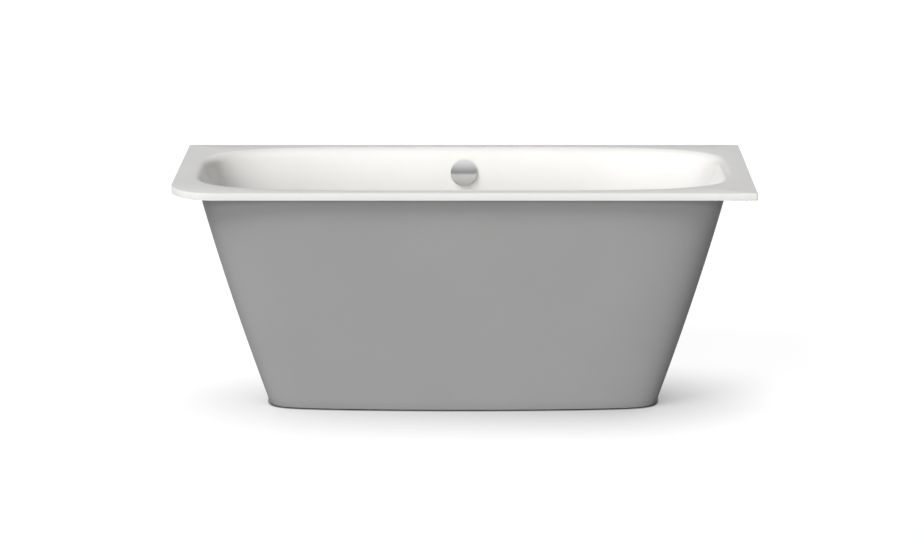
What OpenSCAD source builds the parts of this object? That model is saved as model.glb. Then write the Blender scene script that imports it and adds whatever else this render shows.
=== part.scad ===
// Built-in bathtub: a pressed and enamelled shell on two rails with levelling feet,
// behind a tapered matt apron, with a turning overflow knob that lifts the plug.
// Origin on the floor under the middle of the rim. +X along the tub, -Y to the open front,
// +Y to the wall behind, +Z up. All sizes in millimetres.

/* [Rim] */
// Length of the rim
rim_length = 1600; // [1500:10:1800]
// Width of the rim from the front to the wall
rim_width = 700; // [680:10:800]
// Height of the rim above the floor
rim_height = 625; // [615:5:680]
// Depth of the lip turned down round the rim
lip_depth = 20; // [16:1:24]
// Radius of the rim's open corner, at the front on the left
open_corner_r = 130; // [60:5:180]
// Radius of the rim's three corners next to walls
wall_corner_r = 5; // [4:1:12]
// Radius along the rim's upper edge
rim_edge_r = 3; // [1:0.5:4]
// Thickness of the enamelled sheet
shell_t = 3; // [2.4:0.1:3.4]

/* [Basin] */
// Flat rim left in front of the basin
front_margin = 39; // [39:1:60]
// Flat rim left behind the basin
back_margin = 28; // [24:1:50]
// Flat rim left at each end of the basin
end_margin = 48; // [44:1:80]
// Depth of the basin below the rim
basin_depth = 440; // [390:5:448]
// Squareness of the basin's mouth, where 2 is an ellipse
mouth_power = 4.2; // [3:0.1:6]
// Squareness of the basin's flat floor
floor_power = 3.2; // [2.4:0.1:5]
// Slope of the basin's ends from the vertical, in degrees
end_slope = 27; // [22:1:32]
// Slope of the basin's long sides from the vertical, in degrees
side_slope = 10; // [7:1:13]
// Radius of the roll from the rim into the basin
roll_r = 28; // [26:1:34]
// Radius between the basin's walls and its floor
floor_r = 90; // [70:5:110]

/* [Apron] */
// Distance from the rim's front edge back to the apron's top
apron_front_top = 31; // [26:1:31]
// Distance from the rim's front edge back to the apron's foot
apron_front_foot = 52; // [45:1:80]
// Distance from the rim's end in to the apron's top
apron_end_top = 66; // [60:1:66]
// Distance from the rim's end in to the apron's foot
apron_end_foot = 259; // [180:1:280]
// Outward bulge of the apron's ends at half height
apron_bulge = 5.5; // [0:0.5:10]
// Squareness of the apron's front corners at its top
apron_top_power = 6.2; // [6:0.1:9]
// Squareness of the apron's front corners at its foot
apron_foot_power = 12; // [8:0.5:14]
// How far the foot's front is bowed out in its middle
apron_bow = 27; // [0:1:30]
// Thickness of the apron
apron_t = 4; // [3:0.1:4.5]
// Distance from the top of the rim down to the apron's upper edge
apron_drop = 18; // [17:0.5:20]
// Shadow gap between the apron and the floor
apron_floor_gap = 3; // [1:0.5:8]
// Gap between the wall and the back edges of the apron's ends
apron_wall_gap = 5; // [2:1:12]
// Plan angle at each end over which the sealing strip stops short
seal_end_angle = 15; // [14:1:30]
// Number of clips that hold the apron's top
clip_count = 4; // [2:1:4]
// Distance between neighbouring clips
clip_pitch = 300; // [160:10:320]
// Width of a clip
clip_w = 40; // [24:2:60]
// Length of the clip's leg behind the apron
clip_leg = 45; // [30:1:80]
// Thickness of the clips' strip
clip_t = 2; // [1.5:0.1:2.7]
// Thickness of the rubber pads between the apron and its holders
apron_pad_t = 1.5; // [1:0.1:2.2]
// Distance between the two floor brackets
floor_bracket_pitch = 600; // [300:10:620]
// Width of a floor bracket
floor_bracket_w = 60; // [50:2:76]
// Height of a floor bracket's upright leg
floor_bracket_h = 45; // [25:1:80]
// Length of a floor bracket's leg on the floor
floor_bracket_leg = 42; // [30:1:60]
// Distance between the two screw holes of a floor bracket
floor_hole_pitch = 40; // [26:1:44]
// Radius of the screw holes in the brackets
bracket_hole_r = 4; // [2.5:0.1:5]

/* [Rails and feet] */
// Distance between the two cross rails under the basin
rail_pitch = 660; // [440:10:700]
// How far a rail runs on past the middle of each foot
rail_overhang = 30; // [15:1:35]
// Width of a rail
rail_w = 40; // [34:1:50]
// Height of a rail
rail_h = 30; // [20:1:34]
// Thickness of the rails' sheet
rail_t = 2; // [1.5:0.1:3]
// Thickness of the rubber between the shell and a rail
rail_pad_t = 4; // [2:0.5:6]
// Length of the rubber on a rail
rail_pad_length = 200; // [120:5:210]
// How far the middle of each foot stands outside the basin's flat floor
foot_outset = 45; // [35:1:45]
// Radius of a foot's stud
stud_r = 5; // [4:0.5:6]
// Length of stud above a rail
stud_reach = 14; // [12:1:18]
// Radius of a foot's pad
foot_pad_r = 30; // [20:1:35]
// Height of a foot's pad
foot_pad_h = 9; // [6:1:14]
// Width across the flats of the hexagons on the feet
hex_w = 17; // [15:1:24]
// Height of a nut or hexagon
nut_h = 8; // [5:1:10]
// Length of a damping mat
mat_length = 180; // [100:5:190]
// Width of a damping mat
mat_width = 200; // [100:5:220]
// Thickness of a damping mat
mat_t = 3; // [2:0.5:5]

/* [Wall brackets] */
// Distance between the two brackets on the back wall
wall_bracket_pitch = 900; // [400:10:1000]
// Distance from the rim's middle to the bracket on the end wall
end_bracket_y = 40; // [-40:5:60]
// Width of a wall bracket
wall_bracket_w = 60; // [50:2:80]
// Height of a wall bracket's plate
wall_bracket_h = 75; // [60:1:120]
// Thickness of the wall brackets' strip
wall_bracket_t = 2.5; // [2:0.1:3]
// Distance between the wall and the far face of a bracket's hook
hook_reach = 16; // [14:0.5:18]
// Distance between the two screw holes of a wall bracket
wall_hole_pitch = 40; // [26:1:44]
// Thickness of the rubber cap above a hook
cap_t = 8; // [5:0.5:10]

/* [Overflow] */
// Distance from the rim down to the knob's axis, along the wall's upright
overflow_depth = 70; // [66:1:90]
// Radius of the knob
knob_r = 38.5; // [35:0.5:39]
// Gap between the basin's wall and the knob's rim
knob_gap = 6; // [4.5:0.5:9]
// Height of the knob's rim
knob_skirt = 8; // [5:0.5:10]
// Height of the knob's dome over its rim
knob_dome = 4; // [2:0.5:6]
// Thickness of the knob's metal
knob_t = 2.5; // [1.5:0.1:4]
// Radius of the spindle behind the knob
spindle_r = 5; // [4:0.1:6]
// Radius of the holes cut in the shell for the overflow and the waste
shell_hole_r = 26; // [25.6:0.1:28]
// Radius of the necks that pass through the shell's holes
neck_r = 25; // [24:0.1:25.4]
// Thickness of the necks' wall
neck_t = 4; // [3:0.1:4.5]
// Depth of the overflow housing behind its gasket
housing_depth = 35; // [32:1:38]
// Outer radius of the overflow housing and the waste body
chamber_r = 36; // [35:0.5:38]
// Thickness of the plastic walls
plastic_t = 3; // [2:0.1:3.5]
// Thickness of the rubber behind and below the shell
gasket_t = 3; // [2:0.5:4]
// Thickness of the rubber on the side of the water
face_gasket_t = 1; // [0.5:0.1:2]
// Radius of the two screws of the overflow
screw_r = 2; // [1.5:0.1:2.5]

/* [Hose and cable] */
// Outer radius of the hose over its ribs
hose_r = 18; // [17:0.5:19]
// Depth of the hose's grooves
hose_groove = 2.5; // [1:0.1:3]
// Radius of the hose's bore
hose_bore_r = 12; // [10:0.1:13]
// Distance from rib to rib
hose_rib_pitch = 10; // [8:0.5:16]
// Bend radius of the hose below the basin
hose_bend_r = 70; // [60:1:80]
// Outer radius of the stubs that the hose is held to
stub_r = 14; // [13:0.1:15]
// Wall of the hose's nuts
hose_nut_t = 4; // [2.5:0.1:4.5]
// Outer radius of the pull cable
cable_r = 2.5; // [2:0.1:2.5]

/* [Waste and trap] */
// Distance from the basin's middle back to the waste
drain_back = 60; // [20:1:65]
// Radius of the waste's visible ring
drain_ring_r = 35; // [34:0.5:40]
// Radius of the plug
plug_r = 32; // [29:0.5:33]
// Travel of the plug
plug_travel = 10; // [6:0.5:11]
// Height of the plug
plug_h = 7; // [5:0.5:8]
// Radius of the plug's stem
stem_r = 4; // [3:0.1:4.5]
// Depth of the waste body under its gasket
drain_body_depth = 47; // [46:1:50]
// Length of the lift lever from its pin to its tip
lever_length = 24; // [23:0.5:25]
// Radius of the lift lever's pin
pin_r = 2.5; // [2:0.1:3]
// Outer radius of the trap's pipe
pipe_r = 20; // [19:0.5:22]
// Wall of the trap's pipe
pipe_t = 2.5; // [2:0.1:3.5]
// Bend radius of the trap
trap_r = 35; // [32:1:36]
// Height of the trap's rise past its bend
trap_rise = 15; // [10:1:24]
// Bend radius of the elbow behind the trap
elbow_r = 30; // [26:1:36]
// Outer radius of the spigot at the end of the outlet
spigot_r = 25; // [24:0.1:27.5]
// Length of the spigot
spigot_length = 45; // [40:1:70]
// Gap between the wall and the end of the spigot
spigot_wall_gap = 15; // [5:1:30]
// Wall of the trap's nuts
trap_nut_t = 6; // [4:0.5:8]

/* [Hidden] */
$fn = 64;

// Clearance of a shaft in its bore, and the gaps of a seated piece, the plug's seal and the hose
running_gap = 0.05;
seat_gap = 0.3;
seal_gap = 0.1;
hose_gap = 0.2;
// A cut runs this far past the face it goes through, and one through the curved shell this far
past = 1;
shell_cut = 8;

// The basin's plan: half-sizes of its mouth and of its flat floor
rim_x = rim_length / 2;
rim_y = rim_width / 2;
basin_y = (front_margin - back_margin) / 2;
mouth_x = rim_x - end_margin;
mouth_y = rim_y - (front_margin + back_margin) / 2;
curve_r = roll_r + floor_r;
floor_z = rim_height - basin_depth;
under_z = floor_z - shell_t;
rim_under_z = rim_height - shell_t;

foot_pitch = 2 * (mouth_y - wall_run(side_slope) + foot_outset);
rail_length = foot_pitch + 2 * rail_overhang;

// Horizontal run of a wall of a given slope from the mouth to the flat floor
function wall_run(slope) =
    ((basin_depth - curve_r) * sin(slope) + curve_r) / cos(slope);
// Run at the depth d: the roll, then the straight wall, then the radius to the floor.
// The offset is 0 on the water's side and the sheet's thickness on the underside.
function run_at(d, slope, offset) =
    let (roll = roll_r - offset)
    let (fillet = floor_r + offset)
    let (roll_end = roll_r - roll * sin(slope))
    let (fillet_centre = basin_depth - floor_r)
    d <= roll_end ? sqrt(max(roll * roll - pow(roll_r - d, 2), 0))
    : d >= fillet_centre + fillet * sin(slope) ?
        wall_run(slope) - sqrt(max(fillet * fillet - pow(d - fillet_centre, 2), 0))
    : roll * cos(slope) + (d - roll_end) * tan(slope);

function signed_power(value, power) = sign(value) * pow(abs(value), power);
// Point of a superellipse of half-sizes a and b at the parameter angle t
function oval(t, a, b, power) =
    [a * signed_power(cos(t), 2 / power), b * signed_power(sin(t), 2 / power)];

// First quarter of a rectangle of half-sizes a and b with a corner of radius r
function corner_start(b, r) = atan(pow((b - r) / b, mouth_power / 2));
function corner_end(a, r) = 90 - atan(pow((a - r) / a, mouth_power / 2));
function rim_quarter(t, a, b, r) =
    t < corner_start(b, r) ? [a, b * pow(tan(t), 2 / mouth_power)]
    : t > corner_end(a, r) ? [a * pow(cos(t) / sin(t), 2 / mouth_power), b]
    : let (turn = 90 * (t - corner_start(b, r)) / (corner_end(a, r) - corner_start(b, r)))
        [a - r + r * cos(turn), b - r + r * sin(turn)];
// Point of the rim's outline, drawn in by inset, that belongs to the angle t
function rim_point(t, inset) =
    let (r = (t > 180 && t < 270 ? open_corner_r : wall_corner_r) - inset)
    let (first = atan2(abs(sin(t)), abs(cos(t))))
    let (p = rim_quarter(first, rim_x - inset, rim_y - inset, max(r, 0.5)))
        [p.x * sign(cos(t)), p.y * sign(sin(t))];

// Angles round the shell: even steps, with a few more in the tight corners
ring_step = 4.5;
corner_from = corner_start(rim_y, wall_corner_r);
corner_to = corner_end(rim_x, wall_corner_r);
quarter_angles = concat(
    [for (t = [0:ring_step:45 - ring_step]) t],
    [for (i = [0:4]) corner_from + (corner_to - corner_from) * i / 4],
    [for (t = [45 + ring_step:ring_step:90 - ring_step]) t]
);
quarter_count = len(quarter_angles);
falling_angles = concat([90], [for (i = [quarter_count - 1:-1:1]) quarter_angles[i]]);
ring_angles = concat(
    quarter_angles,
    [for (t = falling_angles) 180 - t],
    [for (t = quarter_angles) 180 + t],
    [for (t = falling_angles) 360 - t]
);

// Depths of the basin's level lines, for the water's side or the underside
roll_turns = [0, 16, 32, 48, 90 - end_slope, 90 - side_slope];
wall_shares = [0.33, 0.67];
fillet_turns = [side_slope, end_slope, 42, 57, 73, 90];
function depths(offset) =
    let (first = roll_r - (roll_r - offset) * sin(side_slope))
    let (last = basin_depth - floor_r + (floor_r + offset) * sin(side_slope))
    concat(
        [for (turn = roll_turns) roll_r - (roll_r - offset) * cos(turn)],
        [for (share = wall_shares) first + (last - first) * share],
        [for (turn = fillet_turns) basin_depth - floor_r + (floor_r + offset) * sin(turn)]
    );
level_count = len(depths(0));
function level_point(t, d, offset) =
    let (power = mouth_power + (floor_power - mouth_power) * min(max(d / basin_depth, 0), 1))
    let (half_x = mouth_x - run_at(d, end_slope, offset))
    let (half_y = mouth_y - run_at(d, side_slope, offset))
    flat(oval(t, half_x, half_y, power) + [0, basin_y], rim_height - d);

// One closed column of the shell: up the inside, over the rim, down the lip and back below
function flat(p, z) = [p.x, p.y, z];
function shell_column(t) =
    let (inside = [for (d = depths(0)) level_point(t, d, 0)])
    let (below = [for (d = depths(shell_t)) level_point(t, d, shell_t)])
    let (bevel = rim_edge_r * (1 - cos(45)))
    concat(
        [for (i = [level_count - 1:-1:0]) inside[i]],
        [flat(rim_point(t, rim_edge_r), rim_height),
         flat(rim_point(t, bevel), rim_height - bevel),
         flat(rim_point(t, 0), rim_height - rim_edge_r),
         flat(rim_point(t, 0), rim_height - lip_depth),
         flat(rim_point(t, shell_t), rim_height - lip_depth),
         flat(rim_point(t, shell_t), rim_under_z)],
        below
    );

// Faces between columns of points that close round, with a cap on each open end
function cell(a, b, c, d) = [[a, b, c], [a, c, d]];
function side_faces(columns, rows) =
    [for (i = [0:columns - 1], j = [0:rows - 2], f = [0:1])
        let (n = (i + 1) % columns)
        cell(i * rows + j, i * rows + j + 1, n * rows + j + 1, n * rows + j)[f]];
function wrapped_faces(columns, rows) = concat(
    side_faces(columns, rows),
    [[for (i = [0:columns - 1]) i * rows]],
    [[for (i = [columns - 1:-1:0]) i * rows + rows - 1]]
);
// The same for a long thin section, whose caps run across from one side to the other
function strip_faces(columns, rows) = concat(
    side_faces(columns, rows),
    [for (i = [0:columns / 2 - 2], f = [0:1])
        let (a = i * rows, b = (i + 1) * rows)
        let (c = (columns - 2 - i) * rows, d = (columns - 1 - i) * rows)
        cell(a, b, c, d)[f]],
    [for (i = [0:columns / 2 - 2], f = [0:1])
        let (top = rows - 1)
        let (a = i * rows + top, b = (i + 1) * rows + top)
        let (c = (columns - 2 - i) * rows + top, d = (columns - 1 - i) * rows + top)
        cell(a, d, c, b)[f]]
);

// Where the overflow's axis meets the inside of the back wall
roll_end_run = roll_r * cos(side_slope);
roll_end_depth = roll_r * (1 - sin(side_slope));
overflow_y = basin_y + mouth_y - roll_end_run - (overflow_depth - roll_end_depth) * tan(side_slope);
overflow_z = rim_height - overflow_depth;
drain_y = basin_y + drain_back;

module at_overflow() {
    translate([0, overflow_y, overflow_z])
        rotate([90 - side_slope, 0, 0])
            children();
}

module at_drain() {
    translate([0, drain_y, floor_z])
        children();
}

// A tube standing on z0
module ring(r_out, r_in, z0, z1) {
    translate([0, 0, z0])
        difference() {
            cylinder(h = z1 - z0, r = r_out);
            translate([0, 0, -past])
                cylinder(h = z1 - z0 + 2 * past, r = r_in);
        }
}

// A round bar standing on z0
module bar(r, z0, z1) {
    translate([0, 0, z0])
        cylinder(h = z1 - z0, r = r);
}

// A hexagonal nut standing on z0
module nut(z0, bore) {
    translate([0, 0, z0])
        difference() {
            cylinder(h = nut_h, r = hex_w / 2 / cos(30), $fn = 6);
            translate([0, 0, -past])
                cylinder(h = nut_h + 2 * past, r = bore);
        }
}

// The enamelled shell with its holes for the overflow and the waste
module tub_shell() {
    // Clockwise seen from above, so that the faces look outward
    columns = [for (i = [len(ring_angles) - 1:-1:0]) shell_column(ring_angles[i])];
    rows = len(columns[0]);
    color("#f3f2ef")
        difference() {
            polyhedron(
                points = [for (column = columns) for (p = column) p],
                faces = wrapped_faces(len(columns), rows),
                convexity = 8
            );
            at_overflow()
                bar(shell_hole_r, -shell_cut, shell_cut);
            at_drain()
                bar(shell_hole_r, -shell_cut, shell_cut);
        }
}

// The apron's plan at the height z: half-length, distance of its face from the rim's middle,
// squareness of its corners, and how far they stand back behind a square front
apron_top_z = rim_height - apron_drop;
function apron_share(z) = z / apron_top_z;
function apron_half_length(z) =
    let (s = apron_share(z))
    rim_x - apron_end_foot + (apron_end_foot - apron_end_top) * s + 4 * apron_bulge * s * (1 - s);
function apron_half_depth(z) =
    rim_y - apron_front_foot + (apron_front_foot - apron_front_top) * apron_share(z);
function apron_power(z) =
    apron_foot_power + (apron_top_power - apron_foot_power) * apron_share(z);
function apron_bow_back(share, z) = apron_bow * (1 - apron_share(z)) * share * share;
// Point of the apron at the plan angle t and the height z, drawn in by inset
function apron_point(t, z, inset) =
    let (half = apron_half_length(z) - inset)
    let (p = oval(t, half, apron_half_depth(z) - inset, apron_power(z)))
    flat([p.x, p.y + apron_bow_back(p.x / half, z)], z);
// Place of the apron's inner face at x
function apron_inner_y(x, z) =
    let (share = abs(x) / (apron_half_length(z) - apron_t))
    let (power = apron_power(z))
    apron_bow_back(share, z)
    - (apron_half_depth(z) - apron_t) * pow(1 - pow(share, power), 1 / power);

apron_step = 4.5;
apron_levels = 8;
// Shares of the foot's half-length that get a point of their own, as the steps leave them out
front_shares = [0.52, 0.39, 0.26, 0.13];
apron_quarter = concat(
    [for (t = [0:apron_step:90 - apron_step]) t],
    [for (share = front_shares) acos(pow(share, apron_foot_power / 2))]
);
apron_angles = concat(
    [for (t = apron_quarter) 180 + t],
    [270],
    [for (i = [len(apron_quarter) - 1:-1:0]) 360 - apron_quarter[i]]
);
seal_angles = concat(
    [180 + seal_end_angle],
    [for (t = apron_angles) if (t > 180 + seal_end_angle && t < 360 - seal_end_angle) t],
    [360 - seal_end_angle]
);
function backed(p) = [p.x, rim_y - apron_wall_gap, p.z];
// The section of the apron at one height, out along the face and home along the inside
function apron_loop(z, inset_out, inset_in) =
    let (outer = [for (t = apron_angles) apron_point(t, z, inset_out)])
    let (inner = [for (t = apron_angles) apron_point(t, z, inset_in)])
    let (last = len(apron_angles) - 1)
    concat(
        [backed(outer[0])], outer, [backed(outer[last])],
        [backed(inner[last])], [for (i = [last:-1:0]) inner[i]], [backed(inner[0])]
    );
function strip_loop(z, source_z) =
    let (last = len(seal_angles) - 1)
    concat(
        [for (t = seal_angles) flat(apron_point(t, source_z, 0), z)],
        [for (i = [last:-1:0]) flat(apron_point(seal_angles[i], source_z, apron_t), z)]
    );

// A solid through closed loops of points, one loop per height, from the bottom up
module lofted(loops) {
    count = len(loops[0]);
    polyhedron(
        points = [for (i = [0:count - 1]) for (loop = loops) loop[i]],
        faces = strip_faces(count, len(loops)),
        convexity = 8
    );
}

// The matt apron: a front and two ends in one piece, open at the wall
module apron() {
    step = (apron_top_z - apron_floor_gap) / (apron_levels - 1);
    color("#9d9d9d")
        lofted([for (i = [0:apron_levels - 1])
            apron_loop(apron_floor_gap + step * i, 0, apron_t)]);
}

// A frame on the apron's inside at x and the height z: X along its face, +Y away from it
module at_apron(x, z) {
    half = clip_w / 2;
    turn = atan2(apron_inner_y(x + half, z) - apron_inner_y(x - half, z), clip_w);
    translate([x, apron_inner_y(x, z), 0])
        rotate([0, 0, turn])
            children();
}

// How far the apron's inside at the height z lies behind its inside at the height base
function apron_lean(x, z, base) = apron_inner_y(x, z) - apron_inner_y(x, base);

// A strip of width w that follows the apron's lean from z0 to z1, between y0 and y1
module leaning_strip(x, base, w, y0, y1, z0, z1) {
    low = apron_lean(x, z0, base);
    high = apron_lean(x, z1, base);
    translate([-w / 2, 0, 0])
        rotate([90, 0, 90])
            linear_extrude(w)
                polygon([
                    [low + y0, z0],
                    [low + y1, z0],
                    [high + y1, z1],
                    [high + y0, z1]
                ]);
}

clip_places = [for (i = [0:clip_count - 1]) (i - (clip_count - 1) / 2) * clip_pitch];
floor_bracket_places = [-floor_bracket_pitch / 2, floor_bracket_pitch / 2];
clip_foot_z = rim_under_z - clip_leg;
clip_outreach = 20;
pad_gap = 0.5;
floor_bracket_t = 2.5;

// The foam strip between the apron's upper edge and the rim
module apron_seal() {
    color("#4a4a4a")
        difference() {
            lofted([strip_loop(apron_top_z, apron_top_z), strip_loop(rim_under_z, apron_top_z)]);
            for (x = clip_places)
                at_apron(x, apron_top_z)
                    translate([-clip_w / 2 - past, -clip_outreach, apron_top_z - past])
                        cube([clip_w + 2 * past, 2 * clip_outreach, apron_drop + past]);
        }
}

// The clips glued under the rim, with a leg behind the apron
module apron_clips() {
    color("silver")
        for (x = clip_places)
            at_apron(x, apron_top_z) {
                translate([-clip_w / 2, -clip_outreach, rim_under_z - clip_t])
                    cube([clip_w, clip_outreach + apron_pad_t + clip_t, clip_t]);
                translate([-clip_w / 2, apron_pad_t, apron_top_z])
                    cube([clip_w, clip_t, rim_under_z - apron_top_z]);
                leaning_strip(
                    x, apron_top_z, clip_w, apron_pad_t, apron_pad_t + clip_t,
                    clip_foot_z, apron_top_z
                );
            }
}

// The angles on the floor behind the apron's foot, each with two screw holes in line with X
module floor_brackets() {
    hole_back = apron_pad_t + (floor_bracket_leg + floor_bracket_t) / 2;
    color("silver")
        for (x = floor_bracket_places)
            difference() {
                at_apron(x, apron_floor_gap) {
                    leaning_strip(
                        x, apron_floor_gap, floor_bracket_w,
                        apron_pad_t, apron_pad_t + floor_bracket_t,
                        seat_gap, floor_bracket_h
                    );
                    translate([-floor_bracket_w / 2, apron_pad_t, seat_gap])
                        cube([floor_bracket_w, floor_bracket_leg, floor_bracket_t]);
                }
                for (side = [-1, 1])
                    translate([
                        x + side * floor_hole_pitch / 2,
                        apron_inner_y(x, apron_floor_gap) + hole_back,
                        0
                    ])
                        bar(bracket_hole_r, seat_gap - past, seat_gap + floor_bracket_t + past);
            }
}

// The rubber pads between the apron and its clips and floor brackets
module apron_pads() {
    margin = 5;
    color("#303030") {
        for (x = clip_places)
            at_apron(x, apron_top_z)
                leaning_strip(
                    x, apron_top_z, clip_w - 2 * margin, pad_gap, apron_pad_t,
                    clip_foot_z, apron_top_z - margin
                );
        for (x = floor_bracket_places)
            at_apron(x, apron_floor_gap)
                leaning_strip(
                    x, apron_floor_gap, floor_bracket_w - 2 * margin, pad_gap, apron_pad_t,
                    apron_floor_gap + margin, floor_bracket_h
                );
    }
}

rail_top_z = under_z - rail_pad_t;
socket_floor = 3;
foot_places = [for (side = [-1, 1], end = [-1, 1]) [side, end]];

module at_foot(side, end) {
    translate([side * rail_pitch / 2, basin_y + end * foot_pitch / 2, 0])
        children();
}

// A channel across the tub, open below, with a hole for each of its two studs
module rail(side) {
    color("gainsboro")
        difference() {
            translate([side * rail_pitch / 2 - rail_w / 2, basin_y - rail_length / 2, 0]) {
                translate([0, 0, rail_top_z - rail_t])
                    cube([rail_w, rail_length, rail_t]);
                for (x = [0, rail_w - rail_t])
                    translate([x, 0, rail_top_z - rail_h])
                        cube([rail_t, rail_length, rail_h]);
            }
            for (end = [-1, 1])
                at_foot(side, end)
                    bar(stud_r + 2 * seat_gap, rail_top_z - rail_t - past, rail_top_z + past);
        }
}

module rail_left() {
    rail(-1);
}

module rail_right() {
    rail(1);
}

// The rubber strips that carry the shell on the rails
module rail_pads() {
    color("#303030")
        for (side = [-1, 1])
            translate([
                side * rail_pitch / 2 - rail_w / 2, basin_y - rail_pad_length / 2, rail_top_z
            ])
                cube([rail_w, rail_pad_length, rail_pad_t]);
}

// The mats glued under the basin's floor against noise
module damping_mats() {
    gap = 30;
    start = rail_pitch / 2 - rail_w / 2 - gap - mat_length;
    color("#3a3a3c")
        for (side = [0, 1])
            mirror([side, 0, 0])
                translate([start, basin_y - mat_width / 2, under_z - mat_t])
                    cube([mat_length, mat_width, mat_t]);
}

// The nuts that lock each stud above and below the rail's web
module lock_nuts() {
    color("silver")
        for (place = foot_places)
            at_foot(place[0], place[1]) {
                nut(rail_top_z, stud_r + running_gap);
                nut(rail_top_z - rail_t - nut_h, stud_r + running_gap);
            }
}

// A stud with its adjusting hexagon, standing in the foot's pad
module foot_stud(side, end) {
    color("silver")
        at_foot(side, end) {
            bar(stud_r, socket_floor, rail_top_z + stud_reach);
            translate([0, 0, foot_pad_h])
                cylinder(h = nut_h, r = hex_w / 2 / cos(30), $fn = 6);
        }
}

// A pad on the floor, with a socket for the stud
module foot_pad(side, end) {
    edge = 2;
    slope = 3;
    collar = 4;
    color("#2b2b2b")
        at_foot(side, end)
            difference() {
                rotate_extrude()
                    polygon([
                        [0, 0],
                        [foot_pad_r, 0],
                        [foot_pad_r, foot_pad_h - edge - slope],
                        [foot_pad_r - edge, foot_pad_h - slope],
                        [hex_w / 2 + collar, foot_pad_h],
                        [0, foot_pad_h]
                    ]);
                bar(stud_r, socket_floor, foot_pad_h + past);
            }
}

module foot_stud_front_left() {
    foot_stud(-1, -1);
}

module foot_stud_front_right() {
    foot_stud(1, -1);
}

module foot_stud_back_left() {
    foot_stud(-1, 1);
}

module foot_stud_back_right() {
    foot_stud(1, 1);
}

module foot_pad_front_left() {
    foot_pad(-1, -1);
}

module foot_pad_front_right() {
    foot_pad(1, -1);
}

module foot_pad_back_left() {
    foot_pad(-1, 1);
}

module foot_pad_back_right() {
    foot_pad(1, 1);
}

// Frames on the walls, with the wall as the plane y = 0 and the tub at -y
module at_back_wall(side) {
    translate([side * wall_bracket_pitch / 2, rim_y, 0])
        children();
}

module at_end_wall() {
    translate([rim_x, end_bracket_y, 0])
        rotate([0, 0, -90])
            children();
}

hook_top_z = rim_under_z - cap_t;
lip_gap = 1.5;
shelf_z = rim_height - lip_depth - lip_gap - wall_bracket_t;
wall_hole_share = 0.6;

// A bracket screwed to the wall, with a shelf under the lip and a hook that rises behind it
module wall_bracket() {
    t = wall_bracket_t;
    difference() {
        translate([-wall_bracket_w / 2, 0, 0]) {
            translate([0, -t, shelf_z + t - wall_bracket_h])
                cube([wall_bracket_w, t, wall_bracket_h]);
            translate([0, -hook_reach, shelf_z])
                cube([wall_bracket_w, hook_reach, t]);
            translate([0, -hook_reach, shelf_z])
                cube([wall_bracket_w, t, hook_top_z - shelf_z]);
        }
        for (side = [-1, 1])
            translate([side * wall_hole_pitch / 2, past, shelf_z - wall_bracket_h * wall_hole_share])
                rotate([90, 0, 0])
                    bar(bracket_hole_r, 0, t + 2 * past);
    }
}

// The rubber cap on a hook, on which the rim rests
module bracket_cap() {
    side = 3;
    grip = 5;
    width = wall_bracket_w - 2 * grip;
    difference() {
        translate([-width / 2, -hook_reach - side, hook_top_z - grip])
            cube([width, wall_bracket_t + 2 * side, grip + cap_t]);
        translate([-width / 2 - past, -hook_reach, hook_top_z - grip - past])
            cube([width + 2 * past, wall_bracket_t, grip + past]);
    }
}

module wall_bracket_left() {
    color("silver")
        at_back_wall(-1)
            wall_bracket();
}

module wall_bracket_right() {
    color("silver")
        at_back_wall(1)
            wall_bracket();
}

module end_bracket() {
    color("silver")
        at_end_wall()
            wall_bracket();
}

module bracket_caps() {
    color("#303030") {
        at_back_wall(-1)
            bracket_cap();
        at_back_wall(1)
            bracket_cap();
        at_end_wall()
            bracket_cap();
    }
}

// A frame on the outer side of the left rail, near its back end, with +z away from the rail
module at_earth() {
    translate([
        -(rail_pitch + rail_w) / 2, basin_y + rail_length / 2 - earth_inset, rail_top_z
    ])
        rotate([0, -90, 0])
            children();
}

earth_inset = 25;
earth_lug_t = 2;
earth_hang = 16;
earth_drop = rail_h + earth_hang;
earth_bolt_r = 3;
earth_hole_r = earth_bolt_r + 0.2;

// The tab for the earth wire, welded to the rail
module earth_lug() {
    width = 22;
    color("silver")
        at_earth()
            difference() {
                translate([-earth_drop - width / 2, -width / 2, 0])
                    cube([earth_drop + width / 2, width, earth_lug_t]);
                translate([-earth_drop, 0, 0])
                    bar(earth_hole_r, -past, earth_lug_t + past);
            }
}

// The bolt of the earth wire, with its nut
module earth_bolt() {
    head_r = 5.5;
    head_h = 4;
    nut_t = 5;
    tail = 12;
    color("goldenrod")
        at_earth()
            translate([-earth_drop, 0, 0]) {
                bar(earth_bolt_r, -tail, earth_lug_t);
                bar(head_r, earth_lug_t, earth_lug_t + head_h);
                translate([0, 0, -nut_t])
                    cylinder(h = nut_t, r = head_r, $fn = 6);
            }
}

// The overflow's pieces, along its axis from the inside of the basin's wall
plate_t = 2;
hub_r = spindle_r + 4;
hub_from = -12;
hub_to = -4;
screw_margin = 2;
screw_offset = neck_r - neck_t - screw_r - screw_margin;
boss_r = screw_r + 2.5;
boss_gap = 8;
neck_seat = 10;
flange_w = 2;
flange_t = 4;
housing_front = -shell_t - gasket_t;
housing_back = housing_front - housing_depth;
housing_floor = housing_back + plastic_t;
chamber_in_r = chamber_r - plastic_t;
stub_z = (housing_front - neck_seat + housing_floor) / 2;
stub_out = 24;
stub_end = chamber_r + stub_out;
crank_t = 4;
crank_r = 12;
spindle_end = housing_floor + crank_t;
crank_z = spindle_end + crank_t;
// A stub starts this far inside the chamber's wall, and its bore this far further in
stub_root = 0.5;
bore_root = 4;

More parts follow.
